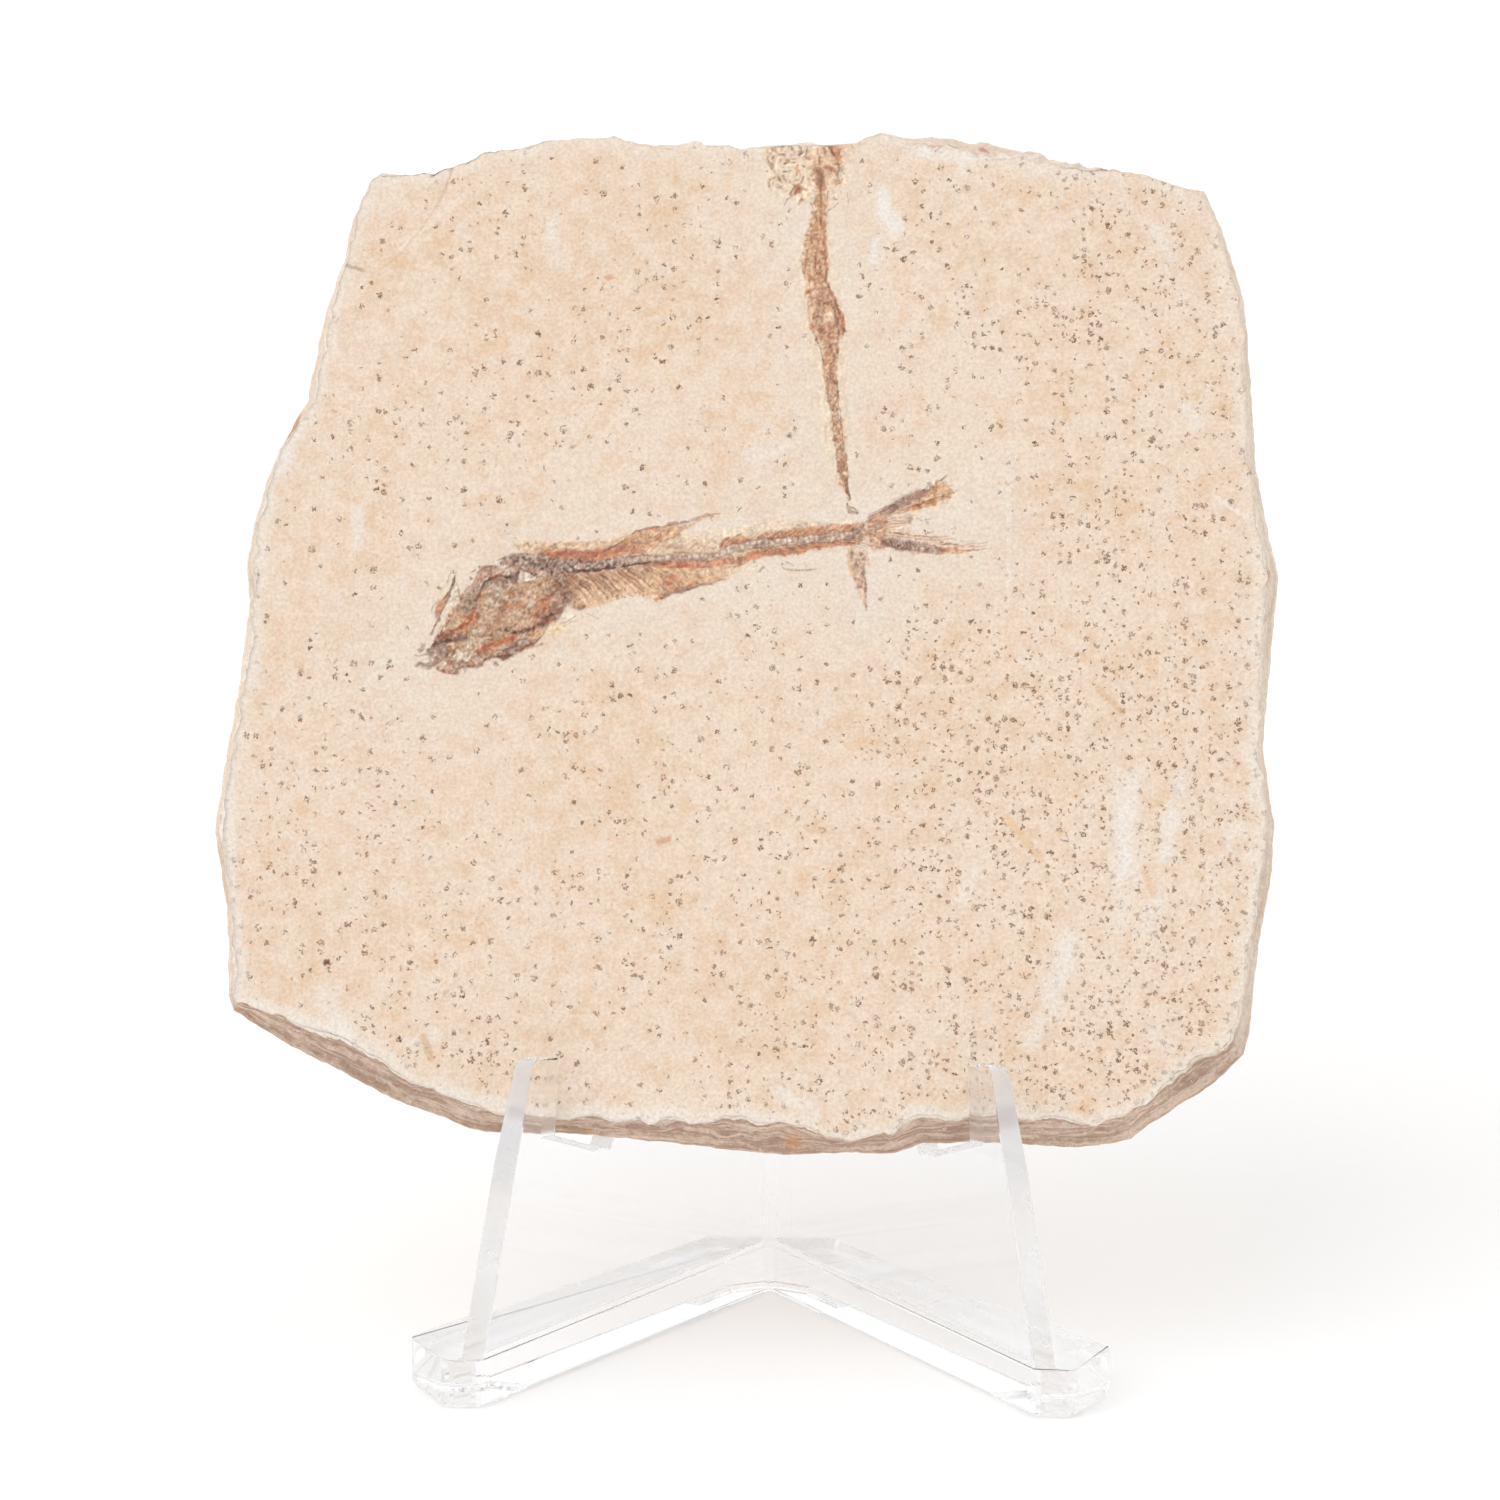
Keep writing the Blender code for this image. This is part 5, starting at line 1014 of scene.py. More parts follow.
def paint_tail(paint):
    """The forked tail: two dark lobes of jointed rays with fine rays between and beyond."""
    patch, stroke, comb, flecks, crumbs = paint.patch, paint.stroke, paint.comb, paint.flecks, paint.crumbs
    patch([
        (14.0, 75.2), (14.9, 76.1), (16.4, 76.6), (20.0, 78.8), (22.4, 79.6), (25.0, 79.1), (24.0, 77.8),
        (21.0, 76.8), (19.6, 75.6), (19.4, 74.4), (20.2, 73.7), (23.0, 73.2), (26.0, 72.6), (28.4, 72.2),
        (25.0, 71.5), (21.0, 71.4), (18.0, 71.6), (15.6, 72.0), (14.2, 72.8),
    ], (236, 206, 176), 0.6, 0.05, 0.6, 0.4)
    patch([
        (14.0, 75.2), (14.9, 76.1), (16.0, 76.4), (16.6, 75.2), (16.4, 73.5), (16.2, 72.0), (14.9, 71.8),
        (14.4, 72.6), (14.0, 73.4),
    ], (214, 164, 132), 0.75, 0.12, 0.5, 0.5)
    root = [(14.0, 75.2), (15.0, 76.0), (16.4, 75.6), (16.2, 72.4), (14.6, 72.4)]
    crumbs(root, 0.42, 0.24, (150, 98, 76))
    crumbs(root, 0.5, 0.24, (236, 204, 176))
    crumbs([(11.8, 73.2), (12.4, 74.6), (13.8, 75.0), (14.4, 74.0), (13.6, 73.0)], 0.4, 0.26, (124, 94, 84),
           0.6, 0.03)
    comb([(14.4, 74.6), (14.4, 73.6)], [(17.2, 76.4), (17.0, 72.4)], 7, 0.14, (150, 92, 70), 0.6, 0.03)

    # Fine rays of the fork
    rays = [
        [(15.6, 75.4), (17.3, 75.7), (19.0, 75.9)], [(15.8, 75.2), (17.5, 75.3), (19.3, 75.3)],
        [(15.9, 74.9), (17.5, 75.0), (19.2, 75.0)], [(16.0, 74.6), (17.4, 74.7), (18.8, 74.7)],
        [(16.0, 74.3), (17.2, 74.3), (18.5, 74.3)], [(16.0, 74.0), (17.6, 73.9), (19.3, 73.7)],
        [(16.4, 75.8), (18.0, 76.3), (19.8, 76.9)], [(16.2, 73.6), (18.0, 73.5), (20.0, 73.3)],
    ]
    for ray in rays:
        stroke(ray, [0.18, 0.16, 0.1], (184, 132, 104), 0.7, 0.05, 0.2)
    patch([(18.8, 75.0), (19.0, 75.9), (19.6, 75.8), (19.5, 74.9)], (172, 148, 132), 0.6, 0.0, 0.25)
    patch([
        (18.4, 77.0), (20.4, 78.4), (22.2, 79.8), (23.2, 80.2), (24.2, 79.2), (24.0, 78.2), (21.8, 77.2),
        (19.6, 76.6),
    ], (232, 188, 148), 0.7, 0.05, 0.5, 0.6)
    comb([(17.8, 76.6), (19.0, 76.6), (20.2, 77.0)], [(25.2, 79.3), (24.2, 78.2), (22.4, 77.3)], 13, 0.17,
         (210, 156, 116), 0.66, 0.05)
    comb([(20.4, 78.6), (21.2, 78.0)], [(23.9, 81.0), (24.8, 79.2)], 9, 0.16, (208, 150, 110), 0.7, 0.05)
    comb([(18.4, 76.8), (20.0, 77.2)], [(24.8, 79.0), (22.8, 77.6)], 8, 0.13, (150, 96, 70), 0.65, 0.03)
    stroke([(23.2, 78.2), (24.1, 78.25)], 0.26, (178, 118, 84), 0.75, 0.03)

    # Upper lobe
    upper = [
        (14.6, 75.6), (16.0, 76.3), (17.0, 76.8), (18.0, 77.4), (19.0, 77.9), (20.0, 78.4), (21.0, 78.9),
        (21.9, 79.3),
    ]
    stroke(upper, [0.7, 1.1, 1.4, 1.5, 1.5, 1.4, 1.1, 0.7], (188, 146, 122), 0.78, 0.1, 0.35)
    stroke(upper[1:5], [0.6, 1.0, 1.0, 0.8], (136, 102, 90), 0.6, 0.03)
    stroke(upper[4:], [0.8, 0.9, 0.7, 0.4], (198, 146, 114), 0.6)
    comb([(15.8, 76.7), (21.8, 79.6)], [(16.6, 75.9), (22.2, 78.7)], 19, 0.13, (104, 74, 62), 0.65, 0.02)
    comb([(15.9, 76.6), (21.9, 79.5)], [(16.7, 76.0), (22.2, 78.8)], 17, 0.12, (232, 212, 194), 0.75, 0.03)
    for shift in (-0.42, -0.14, 0.14, 0.42):
        stroke([(x - 0.5 * shift, v + shift) for x, v in upper], [0.12] * 8, (128, 88, 72), 0.5, 0.02)
    stroke([(21.9, 79.3), (22.4, 80.0), (23.0, 80.2), (23.6, 80.9)], 0.2, (140, 104, 86), 0.8, 0.04)
    stroke([(21.6, 79.9), (22.1, 80.0), (22.3, 79.6)], 0.24, (238, 218, 194))
    flecks([(21.4, 79.8), (20.8, 79.2)], 0.26, (110, 82, 72))
    stroke([(22.2, 79.4), (23.2, 79.5), (24.2, 79.6)], 0.2, (214, 160, 120), 0.6)

    # Lower lobe
    lower = [(16.3, 72.8), (17.2, 72.6), (18.2, 72.4), (19.2, 72.3), (20.2, 72.1), (21.5, 72.0), (23.3, 71.8)]
    stroke(lower, [0.8, 1.4, 1.5, 1.5, 1.3, 1.1, 0.8], (176, 136, 116), 0.82, 0.1)
    stroke(lower[:5], [0.6, 1.0, 1.1, 1.0, 0.6], (130, 98, 86), 0.6, 0.03)
    comb([(16.4, 73.4), (19.6, 72.9), (23.4, 72.3)], [(16.9, 72.1), (20.0, 71.6), (23.6, 71.5)], 21, 0.13,
         (100, 70, 60), 0.65, 0.02)
    comb([(16.6, 73.3), (19.6, 72.8), (23.4, 72.2)], [(17.0, 72.2), (20.0, 71.7), (23.6, 71.5)], 19, 0.12,
         (232, 212, 194), 0.75, 0.03)
    for shift in (-0.42, -0.14, 0.14, 0.42):
        stroke([(x, v + shift) for x, v in lower], [0.12] * 7, (124, 84, 70), 0.5, 0.02)
    stroke([(23.1, 71.9), (24.3, 71.8), (25.6, 71.8)], [0.7, 0.7, 0.3], (208, 142, 96), 0.8, 0.05)
    stroke([(25.4, 71.85), (27.0, 72.0), (28.6, 72.1)], [0.3, 0.22, 0.08], (216, 172, 134), 0.75, 0.03)
    for ray in (
        [(17.0, 73.9), (20.0, 73.6), (23.0, 73.3), (27.0, 72.9)], [(19.5, 73.65), (21.8, 73.6), (24.0, 73.5)],
        [(20.0, 73.2), (21.5, 73.15), (23.0, 73.1)], [(23.4, 72.6), (25.3, 72.5), (28.5, 72.9)],
        [(24.6, 72.2), (26.4, 72.4), (28.2, 72.4)], [(25.0, 71.9), (26.6, 72.0), (28.2, 72.1)],
        [(21.0, 72.8), (23.0, 72.7), (25.0, 72.6)],
    ):
        stroke(ray, [0.18] + [0.15] * (len(ray) - 2) + [0.07], (188, 136, 104), 0.75, 0.04, 0.15)
    flecks([(23.1, 73.0), (23.6, 72.7), (21.8, 73.3)], 0.24, (130, 100, 84), 0.7)
    stroke([(20.0, 75.7), (20.8, 75.4)], 0.2, (170, 150, 132), 0.7)
    stroke([(21.2, 75.5), (21.9, 75.7)], 0.2, (176, 156, 138), 0.65)
    stroke([(21.5, 74.0), (22.2, 74.2)], 0.2, (176, 156, 138), 0.65)


def paint_hanging_fish(paint):
    """The thin fish that hangs from the top edge and ends below the other's tail."""
    patch, stroke, flecks, crumbs = paint.patch, paint.stroke, paint.flecks, paint.crumbs
    patch([
        (1.5, 115.5), (1.2, 120.9), (6.5, 121.0), (11.0, 120.9), (10.9, 116.6), (9.0, 113.0), (6.0, 113.6),
        (3.0, 114.8),
    ], (240, 214, 182), 0.6, 0.02, 1.6, 0.8)
    left = [
        (7.5, 115.6), (7.2, 113.6), (6.8, 111.6), (6.2, 109.4), (5.9, 107.5), (5.6, 106.0), (6.2, 104.5),
        (6.5, 102.0), (6.7, 101.0), (6.9, 99.0), (7.0, 98.2), (7.8, 97.0), (8.3, 96.0), (8.6, 94.0),
        (8.9, 92.0), (9.3, 90.0), (9.7, 88.5), (9.9, 87.0), (10.1, 85.0), (10.4, 83.0), (10.6, 81.0),
        (10.7, 79.8), (11.3, 79.4), (11.7, 78.6), (11.8, 77.5),
    ]
    right = [
        (8.5, 115.4), (8.6, 113.0), (8.8, 110.0), (8.9, 107.0), (8.9, 105.0), (9.4, 103.0), (10.0, 101.8),
        (10.7, 100.0), (11.2, 98.0), (10.8, 97.2), (10.3, 97.0), (10.3, 95.0), (10.2, 92.0), (10.5, 90.0),
        (10.9, 88.0), (11.1, 86.0), (11.3, 84.0), (11.6, 82.0), (11.9, 80.8), (11.8, 79.8), (12.0, 78.5),
        (12.1, 77.9),
    ]
    stroke([(7.8, 113.0), (7.5, 106.0), (8.6, 100.0), (9.4, 94.0), (10.3, 86.0), (11.2, 79.6)],
           [2.0, 5.0, 5.2, 4.0, 2.8, 1.6], (240, 212, 180), 0.42, 0.0, 0.15, 0.0)
    body = left + right[::-1]
    patch(body, (224, 178, 138), 0.72, 0.1, 0.5, 0.6)
    stroke([(8.0, 111.0), (7.3, 107.0), (7.7, 103.0)], [0.8, 2.6, 2.6], (222, 172, 130), 0.5, 0.03, 0.4, 0.3)
    stroke([(7.9, 103.4), (8.6, 101.0), (9.1, 98.6), (9.2, 97.2)], [1.8, 3.2, 3.4, 2.0], (202, 158, 132), 0.7,
           0.05, 0.4)
    stroke([(9.2, 98.4), (9.4, 96.0), (9.5, 94.0), (9.7, 91.8)], [2.0, 1.9, 1.6, 1.4], (192, 136, 104), 0.75,
           0.04, 0.45)
    stroke([(9.6, 92.4), (10.1, 89.0), (10.5, 86.0), (10.9, 82.6), (11.3, 80.2)], [1.4, 1.3, 1.2, 1.2, 1.0],
           (192, 146, 118), 0.75, 0.04, 0.5)
    crumbs(body, 0.4, 0.24, (164, 104, 74), 0.7, 0.02)
    crumbs(body, 0.56, 0.22, (124, 90, 74), 0.4)
    crumbs(body, 0.48, 0.22, (238, 210, 180), 0.6, 0.02)
    for line in (
        [(7.0, 110.4), (6.9, 108.6), (6.4, 107.0), (6.2, 105.8)], [(7.9, 109.6), (7.4, 107.6), (7.6, 105.4)],
        [(8.1, 108.4), (7.9, 106.4), (8.3, 104.6)], [(6.6, 105.4), (6.9, 103.6), (7.0, 101.8)],
        [(7.4, 105.0), (7.5, 103.0), (8.0, 101.4)],
    ):
        stroke(line, 0.2, (184, 116, 78), 0.7, 0.03, 0.5)
    stroke([
        (8.0, 111.2), (8.4, 110.4), (8.5, 109.5), (8.4, 108.5), (8.7, 107.0), (8.8, 105.5), (8.9, 104.0),
        (9.3, 103.0), (9.8, 102.0), (10.2, 101.0), (10.7, 100.0), (10.9, 99.0), (11.2, 98.0),
    ], [0.25, 0.3, 0.3, 0.3, 0.3, 0.35, 0.35, 0.35, 0.4, 0.45, 0.5, 0.45, 0.3], (158, 92, 60), 0.85, 0.06)
    stroke([(9.4, 101.8), (9.9, 100.6), (10.2, 99.0), (10.4, 97.6)], 0.3, (126, 82, 64), 0.65, 0.03)
    stroke([(6.6, 101.8), (6.8, 99.6), (7.2, 98.0), (8.0, 96.8), (8.5, 95.0), (8.8, 92.6)], 0.26,
           (164, 112, 86), 0.5, 0.04, 0.6, 0.7)
    stroke([(8.9, 92.2), (9.6, 88.8), (10.1, 85.2), (10.6, 81.0)], 0.26, (150, 108, 86), 0.55, 0.03, 0.7, 0.7)
    stroke([(10.3, 92.0), (10.8, 88.0), (11.2, 84.6), (11.7, 81.4)], 0.26, (144, 100, 78), 0.6, 0.03, 0.7,
           0.7)
    stroke([(8.0, 116.0), (8.1, 114.0), (8.1, 112.0), (8.0, 110.0)], [1.4, 1.3, 1.3, 1.8], (216, 168, 128),
           0.75, 0.05, 0.5)
    stroke([(11.5, 80.4), (11.8, 79.2), (12.05, 77.9)], [0.6, 0.35, 0.2], (150, 112, 92), 0.8, 0.04)
    stroke([(10.8, 79.9), (11.3, 79.5), (11.6, 78.7)], 0.2, (168, 128, 104), 0.7)
    stroke([(11.8, 77.4), (12.1, 76.4), (12.8, 76.1)], [0.3, 0.6, 0.4], (160, 118, 98), 0.8, 0.05)
    stroke([(12.2, 77.0), (12.7, 76.7), (13.0, 76.2)], 0.3, (132, 94, 80), 0.7, 0.03)

    # Head of the hanging fish: scattered thin bones
    ink = (146, 106, 82)
    scatter = [
        (1.4, 115.6), (1.3, 120.7), (6.6, 120.9), (11.0, 120.6), (10.6, 116.2), (8.4, 114.6), (5.2, 113.8),
    ]
    crumbs(scatter, 0.9, 0.3, (196, 132, 90), 0.65, 0.02)
    crumbs(scatter, 0.85, 0.24, (126, 90, 72), 0.7, 0.03)
    patch([
        (6.6, 119.6), (8.6, 120.8), (10.6, 120.6), (10.4, 118.0), (9.4, 116.4), (8.4, 114.8), (7.2, 115.4),
        (6.8, 117.4),
    ], (222, 168, 124), 0.45, 0.03, 0.8, 0.7)
    for line, width in (
        ([(2.3, 120.4), (2.9, 120.4), (3.5, 120.3)], 0.3), ([(3.2, 120.3), (3.2, 120.7)], 0.3),
        ([(3.0, 119.4), (3.7, 119.4)], 0.3), ([(1.6, 118.8), (1.8, 118.1), (2.0, 117.5)], 0.26),
        ([(3.7, 118.4), (4.7, 118.5)], 0.24), ([(5.3, 119.4), (5.5, 120.3)], 0.18),
        ([(6.0, 119.2), (6.3, 120.3)], 0.14), ([(6.1, 119.1), (6.7, 118.9)], 0.18),
        ([(2.3, 117.3), (2.9, 116.5), (3.4, 116.1)], 0.18), ([(3.7, 117.4), (4.6, 117.4)], 0.2),
        ([(3.4, 117.0), (3.8, 116.2)], 0.16), ([(7.4, 120.2), (7.7, 119.0), (7.8, 118.2)], 0.25),
        ([(3.7, 113.3), (4.0, 114.0), (4.4, 114.3)], 0.16), ([(6.7, 113.6), (7.1, 113.0)], 0.14),
        ([(6.6, 111.0), (7.1, 110.8)], 0.16), ([(10.0, 118.5), (10.3, 117.7), (9.8, 117.2)], 0.2),
        ([(9.0, 112.7), (9.6, 113.2), (10.0, 113.7)], 0.14), ([(9.5, 114.2), (9.8, 114.0)], 0.2),
        ([(11.25, 114.8), (11.3, 113.4)], 0.12), ([(4.5, 118.9), (4.8, 119.0)], 0.22),
        ([(5.6, 121.0), (5.2, 120.2)], 0.16), ([(8.2, 120.9), (8.4, 119.6)], 0.2),
        ([(9.9, 117.0), (10.2, 116.0)], 0.16), ([(8.7, 113.9), (9.0, 115.0)], 0.18),
    ):
        stroke(line, width, ink, 0.8, 0.05, 0.4)
    flecks([(1.9, 119.4), (2.2, 118.9), (10.4, 117.6), (4.2, 120.4), (5.9, 118.0), (7.0, 117.0)], 0.3, ink,
           0.7, 0.03)
    stroke([(5.0, 117.9), (5.1, 117.4), (5.0, 116.9)], 0.3, (214, 150, 100), 0.75)
    patch([(4.8, 114.6), (4.7, 115.7), (5.3, 116.1), (5.7, 115.4), (5.6, 114.7)], (188, 116, 78), 0.85, 0.06,
          0.3)
    for line in (
        [(4.3, 114.7), (5.1, 115.9)], [(5.6, 115.7), (6.3, 115.1)], [(5.6, 114.1), (5.3, 113.4)],
        [(5.9, 116.8), (5.6, 116.0)], [(4.2, 116.2), (4.8, 115.4)],
    ):
        stroke(line, 0.2, (168, 104, 72), 0.8, 0.04, 0.4)
    patch([(8.9, 120.4), (10.5, 120.6), (10.3, 119.2), (10.0, 118.5), (9.4, 119.2)], (204, 136, 96), 0.85,
          0.08, 0.3)
    stroke([(8.8, 120.4), (9.3, 119.9), (9.5, 119.4)], 0.3, (132, 88, 68), 0.8, 0.03)
    patch([
        (7.1, 117.6), (7.8, 117.9), (8.4, 117.6), (8.6, 116.8), (8.5, 115.8), (8.1, 115.1), (7.6, 115.2),
        (7.3, 116.2),
    ], (176, 130, 106), 0.85, 0.14, 0.35, 0.5)
    stroke([(7.6, 117.4), (8.1, 116.8), (8.0, 115.8)], 0.4, (126, 88, 72), 0.55, 0.04, 0.6)
    stroke([(8.5, 117.9), (9.3, 117.6), (9.7, 117.5)], [0.7, 0.8, 0.4], (190, 122, 84), 0.85, 0.08)
    stroke([(7.9, 115.0), (8.0, 114.0), (8.1, 113.0), (8.1, 112.0), (8.0, 111.0)], 0.34, (150, 100, 74), 0.75,
           0.06, 0.5)

    # Its end, below the lying fish
    patch([
        (11.9, 71.9), (12.2, 70.5), (12.4, 69.2), (12.9, 67.6), (13.5, 66.6), (14.0, 64.8), (14.4, 64.8),
        (14.4, 67.0), (14.3, 69.0), (14.0, 70.8), (13.9, 71.9),
    ], (214, 174, 144), 0.72, 0.1, 0.5, 0.7)
    stroke([(12.2, 71.6), (12.4, 70.4), (12.6, 69.2), (13.0, 68.0), (13.3, 67.2)],
           [0.4, 0.3, 0.3, 0.25, 0.15], (170, 130, 106), 0.5, 0.05, 0.6, 0.7)
    stroke([(13.6, 71.4), (13.8, 70.5), (14.0, 69.0), (14.1, 68.0), (14.2, 66.6), (14.2, 64.9)],
           [0.4, 0.35, 0.35, 0.3, 0.3, 0.15], (158, 120, 98), 0.6, 0.05, 0.6, 0.7)
    stroke([(11.9, 71.2), (12.1, 69.9), (12.5, 68.6)], 0.3, (228, 180, 132), 0.6)
    crumbs([(12.2, 71.6), (12.6, 69.0), (13.6, 66.4), (14.3, 65.0), (14.2, 69.0), (13.8, 71.6)], 0.34, 0.24,
           (152, 112, 90), 0.65, 0.02)
    crumbs([(12.0, 71.8), (12.2, 69.0), (13.2, 66.6), (14.3, 65.0), (14.4, 69.0), (14.0, 71.8)], 0.5, 0.26,
           (236, 208, 180), 0.6, 0.02)


def paint_strays(paint):
    """Small bones and marks that lie loose between the fossils."""
    stroke = paint.stroke
    grey = (168, 146, 126)
    stroke([(4.2, 69.7), (4.6, 69.4), (5.5, 69.25), (7.0, 69.3), (8.2, 69.4)], [0.1, 0.22, 0.26, 0.2, 0.1],
           (150, 116, 92), 0.8, 0.05)
    stroke([(4.7, 70.2), (5.5, 69.9)], 0.22, grey, 0.7, 0.02)
    stroke([(6.8, 70.2), (7.1, 69.8)], 0.22, grey, 0.7, 0.02)
    stroke([(1.3, 69.0), (1.9, 69.6)], 0.26, (150, 132, 98), 0.75, 0.02)
    stroke([(2.3, 65.1), (2.6, 64.6)], 0.28, grey, 0.7)
    stroke([(2.7, 84.5), (3.6, 84.6), (4.3, 84.2)], 0.2, (232, 196, 152), 0.5)


def paint_fossils(x, v):
    """Everything on the two fish, worked out wherever it is asked for, so that meshes agree."""
    paint = Paint(x, v)
    paint_hanging_fish(paint)
    paint_body(paint)
    paint_head(paint)
    paint_nape(paint)
    paint_tail(paint)
    paint_strays(paint)
    paint.weather()
    return paint


# ---- shader maths ----


class Socket:
    """A node's output. Sums with numbers and with other sockets add the Math nodes they need."""

    def __init__(self, finish, output):
        self.finish = finish
        self.output = output

    def maths(self, operation, *values, clamp=False):
        """A Math node on these values, in order."""
        inputs = dict(enumerate(values))
        return self.finish.add("ShaderNodeMath", {"operation": operation, "use_clamp": clamp}, inputs)

    def __add__(self, other):
        return self.maths("ADD", self, other)

    def __radd__(self, other):
        return self.maths("ADD", other, self)

    def __sub__(self, other):
        return self.maths("SUBTRACT", self, other)

    def __rsub__(self, other):
        return self.maths("SUBTRACT", other, self)

    def __mul__(self, other):
        return self.maths("MULTIPLY", self, other)

    def __rmul__(self, other):
        return self.maths("MULTIPLY", other, self)

    def clip(self):
        """Kept between 0 and 1."""
        return self.maths("ADD", self, 0.0, clamp=True)

    def ramp(self, low, high):
        """A smooth step: 0 up to low, 1 from high on. With low above high it falls instead."""
        inputs = {"Value": self, "From Min": low, "From Max": high}
        return self.finish.add("ShaderNodeMapRange", {"interpolation_type": "SMOOTHSTEP"}, inputs)


class Finish:
    """A material, and short ways to add nodes to it."""

    def __init__(self, name):
        self.material = bpy.data.materials.new(name)
        self.material.use_nodes = True
        self.nodes = self.material.node_tree.nodes
        self.links = self.material.node_tree.links
        self.shader = self.nodes["Principled BSDF"]

    def add(self, kind, settings, inputs, output=0):
        """Any node: its settings first, then the values or links of its sockets."""
        node = self.nodes.new(kind)
        for name, value in settings.items():
            setattr(node, name, value)
        for key, value in inputs.items():
            self.feed(node.inputs[key], value)
        return Socket(self, node.outputs[output])

    def feed(self, socket, value):
        """Link a socket, or set its own value."""
        if isinstance(value, Socket):
            self.links.new(value.output, socket)
        else:
            socket.default_value = value

    def surface(self, **values):
        """Feed the Principled shader. An underscore in a name stands for a space."""
        for name, value in values.items():
            self.feed(self.shader.inputs[name.replace("_", " ")], value)

    def noise(self, vector, size, detail=2.0, roughness=0.5, output=0):
        """Noise whose largest features are about size wide."""
        inputs = {"Vector": vector, "Scale": 1.0 / size, "Detail": detail, "Roughness": roughness}
        return self.add("ShaderNodeTexNoise", {}, inputs, output)

    def cells(self, vector, size):
        """Scattered cells on the slab's face: distance to each one's middle, and three random numbers."""
        inputs = {"Vector": vector, "Scale": 1.0 / size}
        made = self.add("ShaderNodeTexVoronoi", {"voronoi_dimensions": "2D"}, inputs)
        colour = Socket(self, made.output.node.outputs["Color"])
        return [made] + [self.add("ShaderNodeSeparateColor", {}, {"Color": colour}, k) for k in range(3)]

    def mix(self, factor, first, second):
        """One colour fading into another."""
        inputs = {0: factor, 6: shade(first), 7: shade(second)}
        return self.add("ShaderNodeMix", {"data_type": "RGBA"}, inputs, 2)

    def near_line(self, place, start, end, reach):
        """1 on a short line between two places, fading to 0 at reach from it: the place less its nearest
        point on the line, which is the start plus a clipped share of the line."""
        start, end = np.array([*start, 0.0]), np.array([*end, 0.0])
        side = end - start
        flat = self.vector("MULTIPLY", place, (1.0, 1.0, 0.0))
        reached = self.vector("SUBTRACT", flat, tuple(start))
        scaled = tuple(side / (side @ side))
        share = self.add("ShaderNodeVectorMath", {"operation": "DOT_PRODUCT"}, {0: reached, 1: scaled}, 1)
        share = share.clip()
        share = self.add("ShaderNodeCombineXYZ", {}, {0: share * side[0], 1: share * side[1]})
        apart = self.add("ShaderNodeVectorMath", {"operation": "DISTANCE"}, {0: reached, 1: share}, 1)
        return apart.ramp(reach, 0.35 * reach)

    def vector(self, operation, *values):
        """A Vector Math node on these values, in order."""
        return self.add("ShaderNodeVectorMath", {"operation": operation}, dict(enumerate(values)))


def shade(colour):
    """A screen colour as a socket takes it, or a link as it is."""
    return colour if isinstance(colour, Socket) else (*tone(*colour), 1.0)


def slab_place(finish):
    """Object coordinates turned into slab measures: x, v and h in millimetres."""
    origin = Vector((SLAB_ORIGIN[0], SLAB_ORIGIN @ SLAB_UP, SLAB_ORIGIN @ SLAB_OUT))
    turn = (-(math.pi / 2.0 - SLAB_LEAN), 0.0, 0.0)
    here = finish.add("ShaderNodeTexCoord", {}, {}, "Object")
    inputs = {"Vector": here, "Location": -origin, "Rotation": turn, "Scale": (1000.0, 1000.0, 1000.0)}
    return finish.add("ShaderNodeMapping", {}, inputs)


